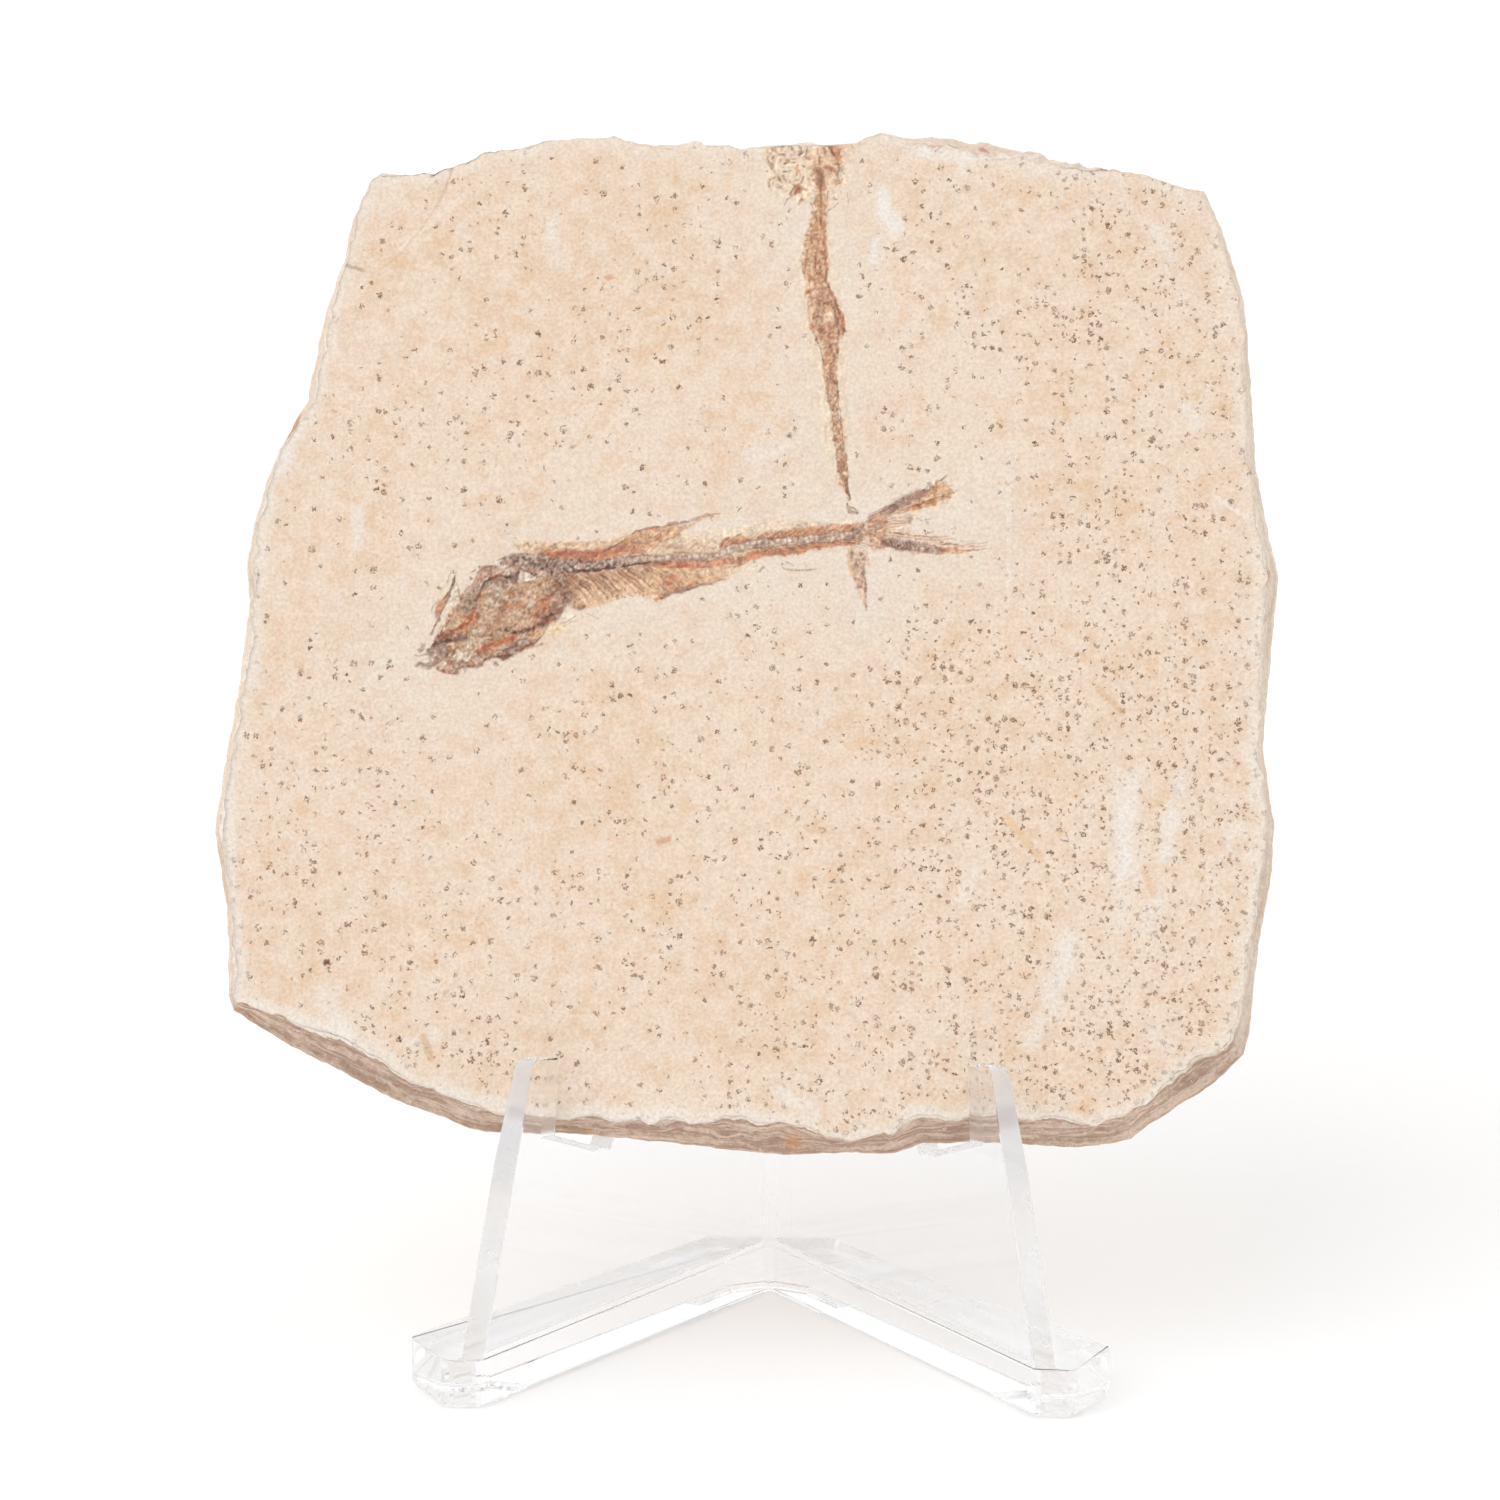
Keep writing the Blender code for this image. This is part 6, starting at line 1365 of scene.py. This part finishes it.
def limestone_finish():
    """Pale fine-grained limestone: warm clouds and stains, dark specks, a layered edge with painted shade
    where it faces down, painted shadow and highlight along the flake's step, and the bones.
    """
    stone = Finish("limestone")
    spot = slab_place(stone)
    ground = stone.add("ShaderNodeAttribute", {"attribute_name": "ground"}, {}, "Vector")
    halo, density, chalk = [stone.add("ShaderNodeSeparateXYZ", {}, {0: ground}, k) for k in range(3)]
    border = stone.add("ShaderNodeAttribute", {"attribute_name": "border"}, {}, "Color")
    on_face, rust, rim = [stone.add("ShaderNodeSeparateColor", {}, {0: border}, k) for k in range(3)]
    crusts = stone.noise(spot, 1.2, 4.0, 0.65)
    on_face = (on_face + 1.2 * crusts).ramp(0.95, 1.15)
    # How far the edge faces down, which sets its painted shade below
    facing_down_shade = stone.add("ShaderNodeAttribute", {"attribute_name": "border"}, {}, "Alpha")
    bone = stone.add("ShaderNodeAttribute", {"attribute_name": "bone"}, {}, "Color")
    cover = stone.add("ShaderNodeAttribute", {"attribute_name": "bone"}, {}, "Alpha")

    clouds = stone.noise(spot, 16.0, 4.0, 0.55)
    mottle = stone.noise(spot, 2.6, 5.0, 0.66)
    grain = stone.noise(spot, 0.42, 3.0, 0.6)
    warm = (0.36 * clouds + 0.8 * mottle - 0.06).ramp(0.42, 0.70)
    colour = stone.mix(warm, (242, 223, 203), (236, 208, 181))
    stain = stone.noise(stone.vector("ADD", spot, (31.0, 7.0, 0.0)), 2.2, 4.0, 0.62)
    patch = stone.noise(stone.vector("ADD", spot, (5.0, 61.0, 0.0)), 9.0, 3.0, 0.5)
    stained = 0.45 * ((0.75 * stain + 0.4 * patch).ramp(0.60, 0.78)) * (1.0 - 0.8 * halo)
    colour = stone.mix(stained, colour, (232, 190, 146))
    colour = stone.mix(0.62 * halo, colour, (240, 229, 216))

    # Dark specks: small groups of crumbs that touch, and single ones between
    wobble = stone.noise(spot, 0.36, 2.0, 0.6, 1)
    bent = stone.vector("MULTIPLY_ADD", wobble, (0.8, 0.8, 0.0), stone.vector("ADD", spot, (-0.4, -0.4, 0.0)))
    distance, chance, deep, big = stone.cells(bent, 1.06)
    group = (distance - 0.20 * big * big).ramp(0.30, 0.14) * (0.54 * density - chance).ramp(0.0, 0.02)
    distance, chance, dark, _ = stone.cells(bent, 0.275)
    crumbs = distance.ramp(0.62, 0.40) * (0.085 * density + 0.85 * group - chance).ramp(0.0, 0.03)
    specks = crumbs * (0.45 + 0.4 * deep + 0.3 * dark) * on_face * (1.0 - 0.75 * chalk) * (1.0 - cover)
    colour = stone.mix((0.9 * specks).clip(), colour, (134, 100, 72))

    # Chalky rubbed marks, faintly drawn out downwards
    streak = stone.add("ShaderNodeMapping", {}, {"Vector": spot, "Scale": (1.0, 0.28, 1.0)})
    streak = stone.noise(streak, 0.45, 4.0, 0.7)
    rubbed = (chalk * (0.35 + 1.15 * streak)).clip()
    colour = stone.mix(0.95 * rubbed, colour, (246, 240, 233))
    colour = stone.mix(0.75 * rim, colour, (246, 238, 229))

    # Bedding layers in the broken edge and over the back: pale at the sides, and darker and browner the more
    # the edge faces down, which is painted shade
    layered = stone.add("ShaderNodeMapping", {}, {"Vector": spot, "Scale": (0.10, 0.10, 2.2)})
    layers = stone.noise(layered, 1.0, 5.0, 0.68)
    depth = SLAB_THICKNESS - stone.add("ShaderNodeSeparateXYZ", {}, {0: spot}, 2)
    broken = (0.85 * layers + 0.3 * crusts).ramp(0.46, 0.66) * (1.0 - 0.65 * depth.ramp(6.6, 7.3))
    side = stone.mix(broken, (243, 229, 213), (232, 212, 194))
    # Painted shade: a darker, browner copy of the edge's colour, mixed in the more the edge faces down
    low = stone.mix(broken, (226, 202, 182), (182, 152, 132))
    edge = stone.mix(facing_down_shade, side, low)
    fresh = stone.mix(crusts.ramp(0.40, 0.66), (246, 235, 222), (224, 201, 178))
    edge = stone.mix((depth + 2.6 * layers + 0.5 * crusts + 0.5 * facing_down_shade).ramp(1.9, 2.3), fresh, edge)
    flecks = stone.noise(stone.vector("ADD", spot, (3.0, 9.0, 4.0)), 0.7, 3.0, 0.6)
    edge = stone.mix(0.55 * flecks.ramp(0.60, 0.70), edge, (238, 220, 200))
    drawn = stone.add("ShaderNodeMapping", {}, {"Vector": spot, "Scale": (0.9, 0.9, 4.0)})
    pits = stone.noise(drawn, 0.8, 3.0, 0.6)
    edge = stone.mix(0.45 * pits.ramp(0.56, 0.66) * (0.2 + 0.8 * facing_down_shade), edge, (144, 112, 90))
    edge = stone.mix(0.8 * (rust * (0.1 + 0.9 * pits + 0.9 * layers)).ramp(0.50, 0.95), edge, (204, 150, 112))
    colour = stone.mix(1.0 - on_face, colour, edge)

    # Single stains, dots and rubbed streaks, with the painted shadow and highlight along the flake's step,
    # then the bones' colours and a little grain over everything
    front = depth.ramp(3.0, 2.0) * (1.0 - cover)
    for start, end, width, mark, strength in STAINS_AND_STEP_SHADING:
        colour = stone.mix(stone.near_line(bent, start, end, width) * front * strength, colour, mark)
    colour = stone.mix((cover * (0.86 + 0.34 * grain)).clip(), colour, bone)
    grit = stone.mix(grain.ramp(0.30, 0.70), (238, 238, 238), (257, 257, 257))
    multiply = {"data_type": "RGBA", "blend_type": "MULTIPLY"}
    gritty = stone.add("ShaderNodeMix", multiply, {0: 1.0, 6: colour, 7: grit}, 2)
    steps = 0.06 * crusts + 0.12 * layers - 0.09
    height = 0.035 * grain + 0.05 * mottle + steps * (1.0 - on_face) - 0.03 * specks
    lumps = stone.add("ShaderNodeBump", {}, {"Height": height, "Distance": 0.001, "Strength": 0.8})
    stone.surface(Base_Color=gritty, Roughness=0.80 + 0.15 * grain, Normal=lumps)
    stone.surface(Specular_IOR_Level=0.25)
    return stone.material


MILKY_FROM = (0.0255, 0.0300)       # metres up, where the arms' front edges turn milky


def plastic_finish():
    """Clear acrylic: faint haze and hairline scratches on its faces, and rougher where it is cut. The
    arms' front edges are milky: plain white mixed in by 0.02, and by 0.65 above the ledges."""
    clear = Finish("clear_plastic")
    spot = clear.add("ShaderNodeTexCoord", {}, {}, "Object")
    haze = clear.noise(spot, 0.009, 3.0, 0.55)
    cut = clear.add("ShaderNodeAttribute", {"attribute_name": "cut"}, {}, "Fac")
    fine = clear.noise(clear.vector("MULTIPLY", spot, (1.0, 1.0, 0.08)), 0.0006, 2.0, 0.5)
    front = clear.add("ShaderNodeAttribute", {"attribute_name": "front"}, {}, "Fac")
    rise = clear.add("ShaderNodeSeparateXYZ", {}, {0: spot}, 2).ramp(*MILKY_FROM)
    frost = (front * (0.02 + 0.63 * rise) * (0.7 + 0.6 * haze)).clip()
    clear.surface(
        Base_Color=(0.968, 0.971, 0.976, 1.0), Roughness=0.04 + 0.06 * haze.ramp(0.45, 0.8) + 0.22 * cut,
        Transmission_Weight=1.0, IOR=1.49,
    )
    height = 0.004 * fine + 0.05 * haze
    lumps = clear.add("ShaderNodeBump", {}, {"Height": height, "Distance": 0.001, "Strength": 0.15})
    clear.surface(Normal=lumps)
    white = {"Base Color": shade((219, 218, 219)), "Roughness": 0.6}
    milky = clear.add("ShaderNodeBsdfPrincipled", {}, white)
    plain = Socket(clear, clear.shader.outputs[0])
    mixed = clear.add("ShaderNodeMixShader", {}, {0: frost, 1: plain, 2: milky})
    clear.feed(clear.nodes["Material Output"].inputs["Surface"], mixed)
    return clear.material


def floor_finish():
    """Plain white studio card."""
    card = Finish("studio_card")
    spot = card.add("ShaderNodeTexCoord", {}, {}, "Object")
    tooth = card.noise(spot, 0.004, 3.0, 0.5)
    card.surface(Base_Color=card.mix(tooth, (251, 251, 251), (253, 253, 253)), Roughness=0.9)
    card.surface(Specular_IOR_Level=0.1)
    return card.material


# ---- the pieces ----


def ground(x, v):
    """Pale halo round the fish, how thick the specks lie, and the chalky rubbed marks."""
    lying, _ = line_distance(x, v, LYING_FISH)
    hanging, _ = line_distance(x, v, HANGING_FISH)
    halo = np.maximum(np.exp(-(lying / 9.0) ** 2), 0.9 * np.exp(-(hanging / 6.0) ** 2))
    halo *= 0.8 + 0.4 * rough(x, v, 12.0, 201)
    density = 0.24 + 0.10 * ease((x + 5.0) / 40.0) + 0.08 * ease((60.0 - v) / 20.0)
    density += 0.12 * ease((x - 0.2 * v + 10.0) / 30.0) * ease((78.0 - v) / 30.0)
    density += 0.16 * np.exp(-((x - 38.0) ** 2 + (v - 48.0) ** 2) / 17.0 ** 2)
    density += 0.10 * ease((x - 30.0) / 15.0) + 0.22 * rough(x, v, 11.0, 211)
    for place_x, place_v, reach in CROWDS:
        density += 0.5 * np.exp(-((x - place_x) ** 2 + (v - place_v) ** 2) / reach ** 2)
    density *= 1.0 - 0.85 * np.exp(-(np.minimum(lying, 1.3 * hanging) / 7.0) ** 2)
    chalk = np.zeros_like(x)
    for line, width, strength in CHALK_MARKS:
        apart, _ = line_distance(x, v, line)
        mark = 1.0 - apart / (1.35 * width) + 0.5 * rough(x, 0.5 * v, 1.1, 221)
        chalk = np.maximum(chalk, strength * ease(mark))
    return np.column_stack([np.clip(halo, 0.0, 1.0), np.clip(density, 0.0, 1.0), np.clip(chalk, 0.0, 1.0)])


def dress(piece, points, on_face, rust, rim, facing_down_shade, bone):
    """Store what the limestone finish reads for each point."""
    give(piece, "ground", ground(points[:, 0], points[:, 1]))
    give(piece, "border", np.column_stack([on_face, rust, rim, facing_down_shade]))
    give(piece, "bone", bone)


def build_slab(material):
    """The slab: face, broken edge and rough back as one closed skin."""
    points, faces, on_face, facing_down_shade = slab_shape()
    metres = np.clip(place(*points.T), SLAB_LOW * MM, SLAB_HIGH * MM)
    piece = make_piece("slab_surface", metres, faces, material)
    x, v, h = points.T
    ring = points[:4 * STEPS:3, :2]
    apart, _ = line_distance(x, v, np.vstack([ring, ring[:1]]))
    rim = ease(1.35 - (apart + 0.7 * rough(x, v, 3.0, 305) + 0.5 * rough(x, v, 0.8, 306)) / 1.5)
    rim *= 0.45 + 0.3 * ease(0.7 - 0.5 * (v - 60.0) / 60.0 - x / 140.0) + 0.4 * rough(x, v, 8.0, 307)
    rust = np.zeros(len(points))
    for place_x, place_v, reach, strength in EDGE_RUST:
        rust = np.maximum(rust, strength * np.exp(-(((x - place_x) ** 2 + (v - place_v) ** 2) / reach ** 2)))
    dress(piece, points, on_face, rust, rim, facing_down_shade, np.zeros((len(points), 4)))
    return piece, points


def skin(name, x, v, lift, material):
    """A thin skin over the face on a grid of places, closed underneath: face height + lift + RELIEF *
    painted height, which fades to nothing towards the skin's rim."""
    rows, columns = x.shape
    paint = paint_fossils(x.ravel(), v.ravel())
    u = np.linspace(0.0, 1.0, columns)[None, :]
    w = np.linspace(0.0, 1.0, rows)[:, None]
    from_rim = ease(12.0 * np.minimum(np.minimum(u, 1.0 - u) * np.ones_like(w), np.minimum(w, 1.0 - w)))
    relief = np.clip(paint.height + 0.02 * paint.fine * paint.cover, 0.0, HIGHEST) * from_rim.ravel()
    x, v = x.ravel(), v.ravel()
    top = np.column_stack([x, v, SLAB_THICKNESS + face_height(x, v) + lift + RELIEF * relief])

    numbers = np.arange(rows * columns).reshape(rows, columns)
    faces = quads(numbers)
    long_rows = columns >= rows
    sides = (numbers[0], numbers[-1]) if long_rows else (numbers[:, -1], numbers[:, 0])
    ends = (numbers[:, 0], numbers[:, -1]) if long_rows else (numbers[0], numbers[-1])
    count = len(sides[0])
    below = len(top) + np.arange(2 * count).reshape(2, count)
    low = np.vstack([top[sides[0]], top[sides[1]]])
    low[:, 2] = SLAB_THICKNESS - SKIN_DEPTH
    faces += quads(np.vstack([below[0], sides[0]]))
    faces += quads(np.vstack([sides[1], below[1]]))
    faces += quads(np.vstack([below[1], below[0]]))
    faces.append([int(n) for n in ends[0]] + [int(below[1][0]), int(below[0][0])])
    faces.append([int(n) for n in ends[1][::-1]] + [int(below[0][-1]), int(below[1][-1])])
    points = np.vstack([top, low])
    piece = make_piece(name, place(*points.T), faces, material)
    piece.data.set_sharp_from_angle(angle=math.radians(80.0))
    bone = np.column_stack([paint.colour, paint.cover])
    bone = np.vstack([bone, np.zeros((2 * count, 4))])
    none = np.zeros(len(points))
    dress(piece, points, np.ones(len(points)), none, none, none, bone)
    return piece


def build_fossils(material, slab_points):
    """Two fine skins, one along each fish, that hold the detail of the bones. Each is an even grid
    between its own two edges: low edge + share * (high edge - low edge)."""
    rows, columns = LYING_GRID
    along = np.linspace(LYING_LOW[0][0], LYING_LOW[-1][0], columns)
    low = np.interp(along, *zip(*LYING_LOW))
    high = np.interp(along, *zip(*LYING_HIGH))
    share = np.linspace(0.0, 1.0, rows)[:, None]
    x = np.broadcast_to(along, LYING_GRID)
    lying = skin("lying_fish", x, low + share * (high - low), LYING_LIFT, material)

    rows, columns = HANGING_GRID
    foot = HANGING_LEFT[0][0]
    up = np.linspace(foot, HANGING_LEFT[-1][0], rows)
    left = np.interp(up, *zip(*HANGING_LEFT))[:, None]
    right = np.interp(up, *zip(*HANGING_RIGHT))[:, None]
    x = left + np.linspace(0.0, 1.0, columns) * (right - left)
    top_rim = slab_points[:STEPS]
    top = np.interp(x, top_rim[:, 0], top_rim[:, 1]) - RIM_GAP
    v = foot + (top - foot) * np.linspace(0.0, 1.0, rows)[:, None]
    hanging = skin("hanging_fish", x, v, HANGING_LIFT, material)
    return [lying, hanging]


def build_stand(material):
    """The easel: the solid's own shape with its doubled points joined and its edges eased. A face is
    sawn where it looks along its wing and not across it, and above the foot."""
    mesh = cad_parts["stand"].data.copy()
    mesh.name = "easel"
    shape = bmesh.new()
    shape.from_mesh(mesh)
    bmesh.ops.remove_doubles(shape, verts=shape.verts, dist=1e-6)
    bmesh.ops.dissolve_limit(shape, angle_limit=math.radians(2.0), verts=shape.verts, edges=shape.edges)
    corners = []
    for edge in shape.edges:
        start, end = [point.co for point in edge.verts]
        in_foot = abs(start.z - end.z) > FOOT_UPRIGHT * MM and max(start.z, end.z) < FOOT_TOP * MM
        at_end = abs(start.x - STAND_ORIGIN[0] * MM) > FOOT_END * MM
        if in_foot and at_end and edge.calc_face_angle_signed(0.0) > 0.3:
            corners.append(edge)
    bmesh.ops.bevel(shape, geom=corners, offset=FOOT_CORNER * MM, segments=4, profile=0.5, affect="EDGES")
    bmesh.ops.connect_verts_concave(shape, faces=shape.faces)
    bmesh.ops.recalc_face_normals(shape, faces=shape.faces)
    cut = shape.faces.layers.float.new("cut")
    front = shape.faces.layers.float.new("front")
    for face in shape.faces:
        across = abs(WING_ACROSS[0] * face.normal.x) + abs(WING_ACROSS[1] * face.normal.y)
        sawn = across < 0.9 and face.calc_center_median().z > FOOT_TOP * MM
        face[cut] = float(sawn or face.normal.z > 0.9)
        face[front] = float(sawn and face.normal.y < -0.5)
    shape.to_mesh(mesh)
    shape.free()
    mesh.materials.clear()
    mesh.materials.append(material)
    mesh.shade_flat()
    piece = bpy.data.objects.new("easel", mesh)
    bpy.context.collection.objects.link(piece)
    bevel = piece.modifiers.new("eased_edges", "BEVEL")
    bevel.width = EASED_EDGE * MM
    bevel.segments = 2
    bevel.use_clamp_overlap = False
    bevel.limit_method = "ANGLE"
    bevel.angle_limit = math.radians(25.0)
    return piece


# ---- camera, light and floor ----

VIEW_RISE = math.radians(15.5)
VIEW_TURN = math.radians(1.9)
VIEW_ROLL = math.radians(0.30)
VIEW_DISTANCE = 900.0
VIEW_CENTRE = STAND_ORIGIN + np.array([-2.4, -10.0, 71.85])
SENSOR = 36.0
LENS = SENSOR * 7563.0 / 1500.0     # the frame is 1500 pixels wide
BOUNCES = 48                        # enough for light to find its way out of the plastic
FLOOR_REACH = 6.0                   # metres each way
FLOOR_DROP = 0.00005                # and below the feet, so that the two never share a plane
SOFTBOX_AIM = (0.55, 0.62, -0.85)


def add_camera():
    """A long lens, a little above the slab and almost square to it."""
    level = math.cos(VIEW_RISE)
    back = np.array([math.sin(VIEW_TURN) * level, -math.cos(VIEW_TURN) * level, math.sin(VIEW_RISE)])
    right = np.array([math.cos(VIEW_TURN), math.sin(VIEW_TURN), 0.0])
    up = np.cross(back, right)
    across = math.cos(VIEW_ROLL) * right + math.sin(VIEW_ROLL) * up
    upright = math.cos(VIEW_ROLL) * up - math.sin(VIEW_ROLL) * right
    camera = bpy.data.objects.new("camera", bpy.data.cameras.new("camera"))
    camera.data.lens = LENS
    camera.data.sensor_width = SENSOR
    camera.data.clip_start = 0.01
    turn = Matrix(np.stack([across, upright, back], axis=1).tolist()).to_4x4()
    camera.matrix_world = Matrix.Translation(Vector((VIEW_CENTRE + VIEW_DISTANCE * back) * MM)) @ turn
    bpy.context.collection.objects.link(camera)
    bpy.context.scene.camera = camera


def add_studio():
    """White surroundings, one large soft box above the front left, and a white floor."""
    world = bpy.data.worlds.new("studio")
    bpy.context.scene.world = world
    world.use_nodes = True
    nodes = world.node_tree.nodes
    links = world.node_tree.links
    direction = nodes.new("ShaderNodeTexCoord")
    parts = nodes.new("ShaderNodeSeparateXYZ")
    dim = nodes.new("ShaderNodeMapRange")
    dim.interpolation_type = "SMOOTHSTEP"
    for name, value in (("From Min", -1.0), ("From Max", 0.1), ("To Min", 0.66), ("To Max", 1.04)):
        dim.inputs[name].default_value = value
    links.new(direction.outputs["Generated"], parts.inputs["Vector"])
    links.new(parts.outputs["Y"], dim.inputs["Value"])
    links.new(dim.outputs["Result"], nodes["Background"].inputs["Strength"])
    nodes["Background"].inputs["Color"].default_value = (1.0, 1.0, 1.0, 1.0)
    sun = bpy.data.objects.new("softbox", bpy.data.lights.new("softbox", "SUN"))
    sun.data.energy = 0.70
    sun.data.angle = math.radians(50.0)
    sun.rotation_euler = Vector(SOFTBOX_AIM).to_track_quat("-Z", "Y").to_euler()
    bpy.context.collection.objects.link(sun)
    corners = np.array([(-1.0, -1.0, 0.0), (1.0, -1.0, 0.0), (1.0, 1.0, 0.0), (-1.0, 1.0, 0.0)])
    floor = make_piece(
        "floor", FLOOR_REACH * corners - (0.0, 0.0, FLOOR_DROP), [[0, 1, 2, 3]], floor_finish(),
    )
    scene = bpy.context.scene
    scene.view_settings.view_transform = "Standard"
    scene.view_settings.look = "None"
    scene.cycles.blur_glossy = 0.0
    scene.cycles.max_bounces = BOUNCES
    scene.cycles.glossy_bounces = BOUNCES
    scene.cycles.transmission_bounces = BOUNCES


def main():
    """Everything, in order."""
    add_camera()
    add_studio()
    stone = limestone_finish()
    slab, slab_points = build_slab(stone)
    fossils = build_fossils(stone, slab_points)
    stand = build_stand(plastic_finish())
    for piece in [slab, stand] + fossils:
        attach(piece, "root")
    for piece in [slab] + fossils:
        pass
    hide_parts("slab")
    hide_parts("stand")


main()
bpy.context.view_layer.update()
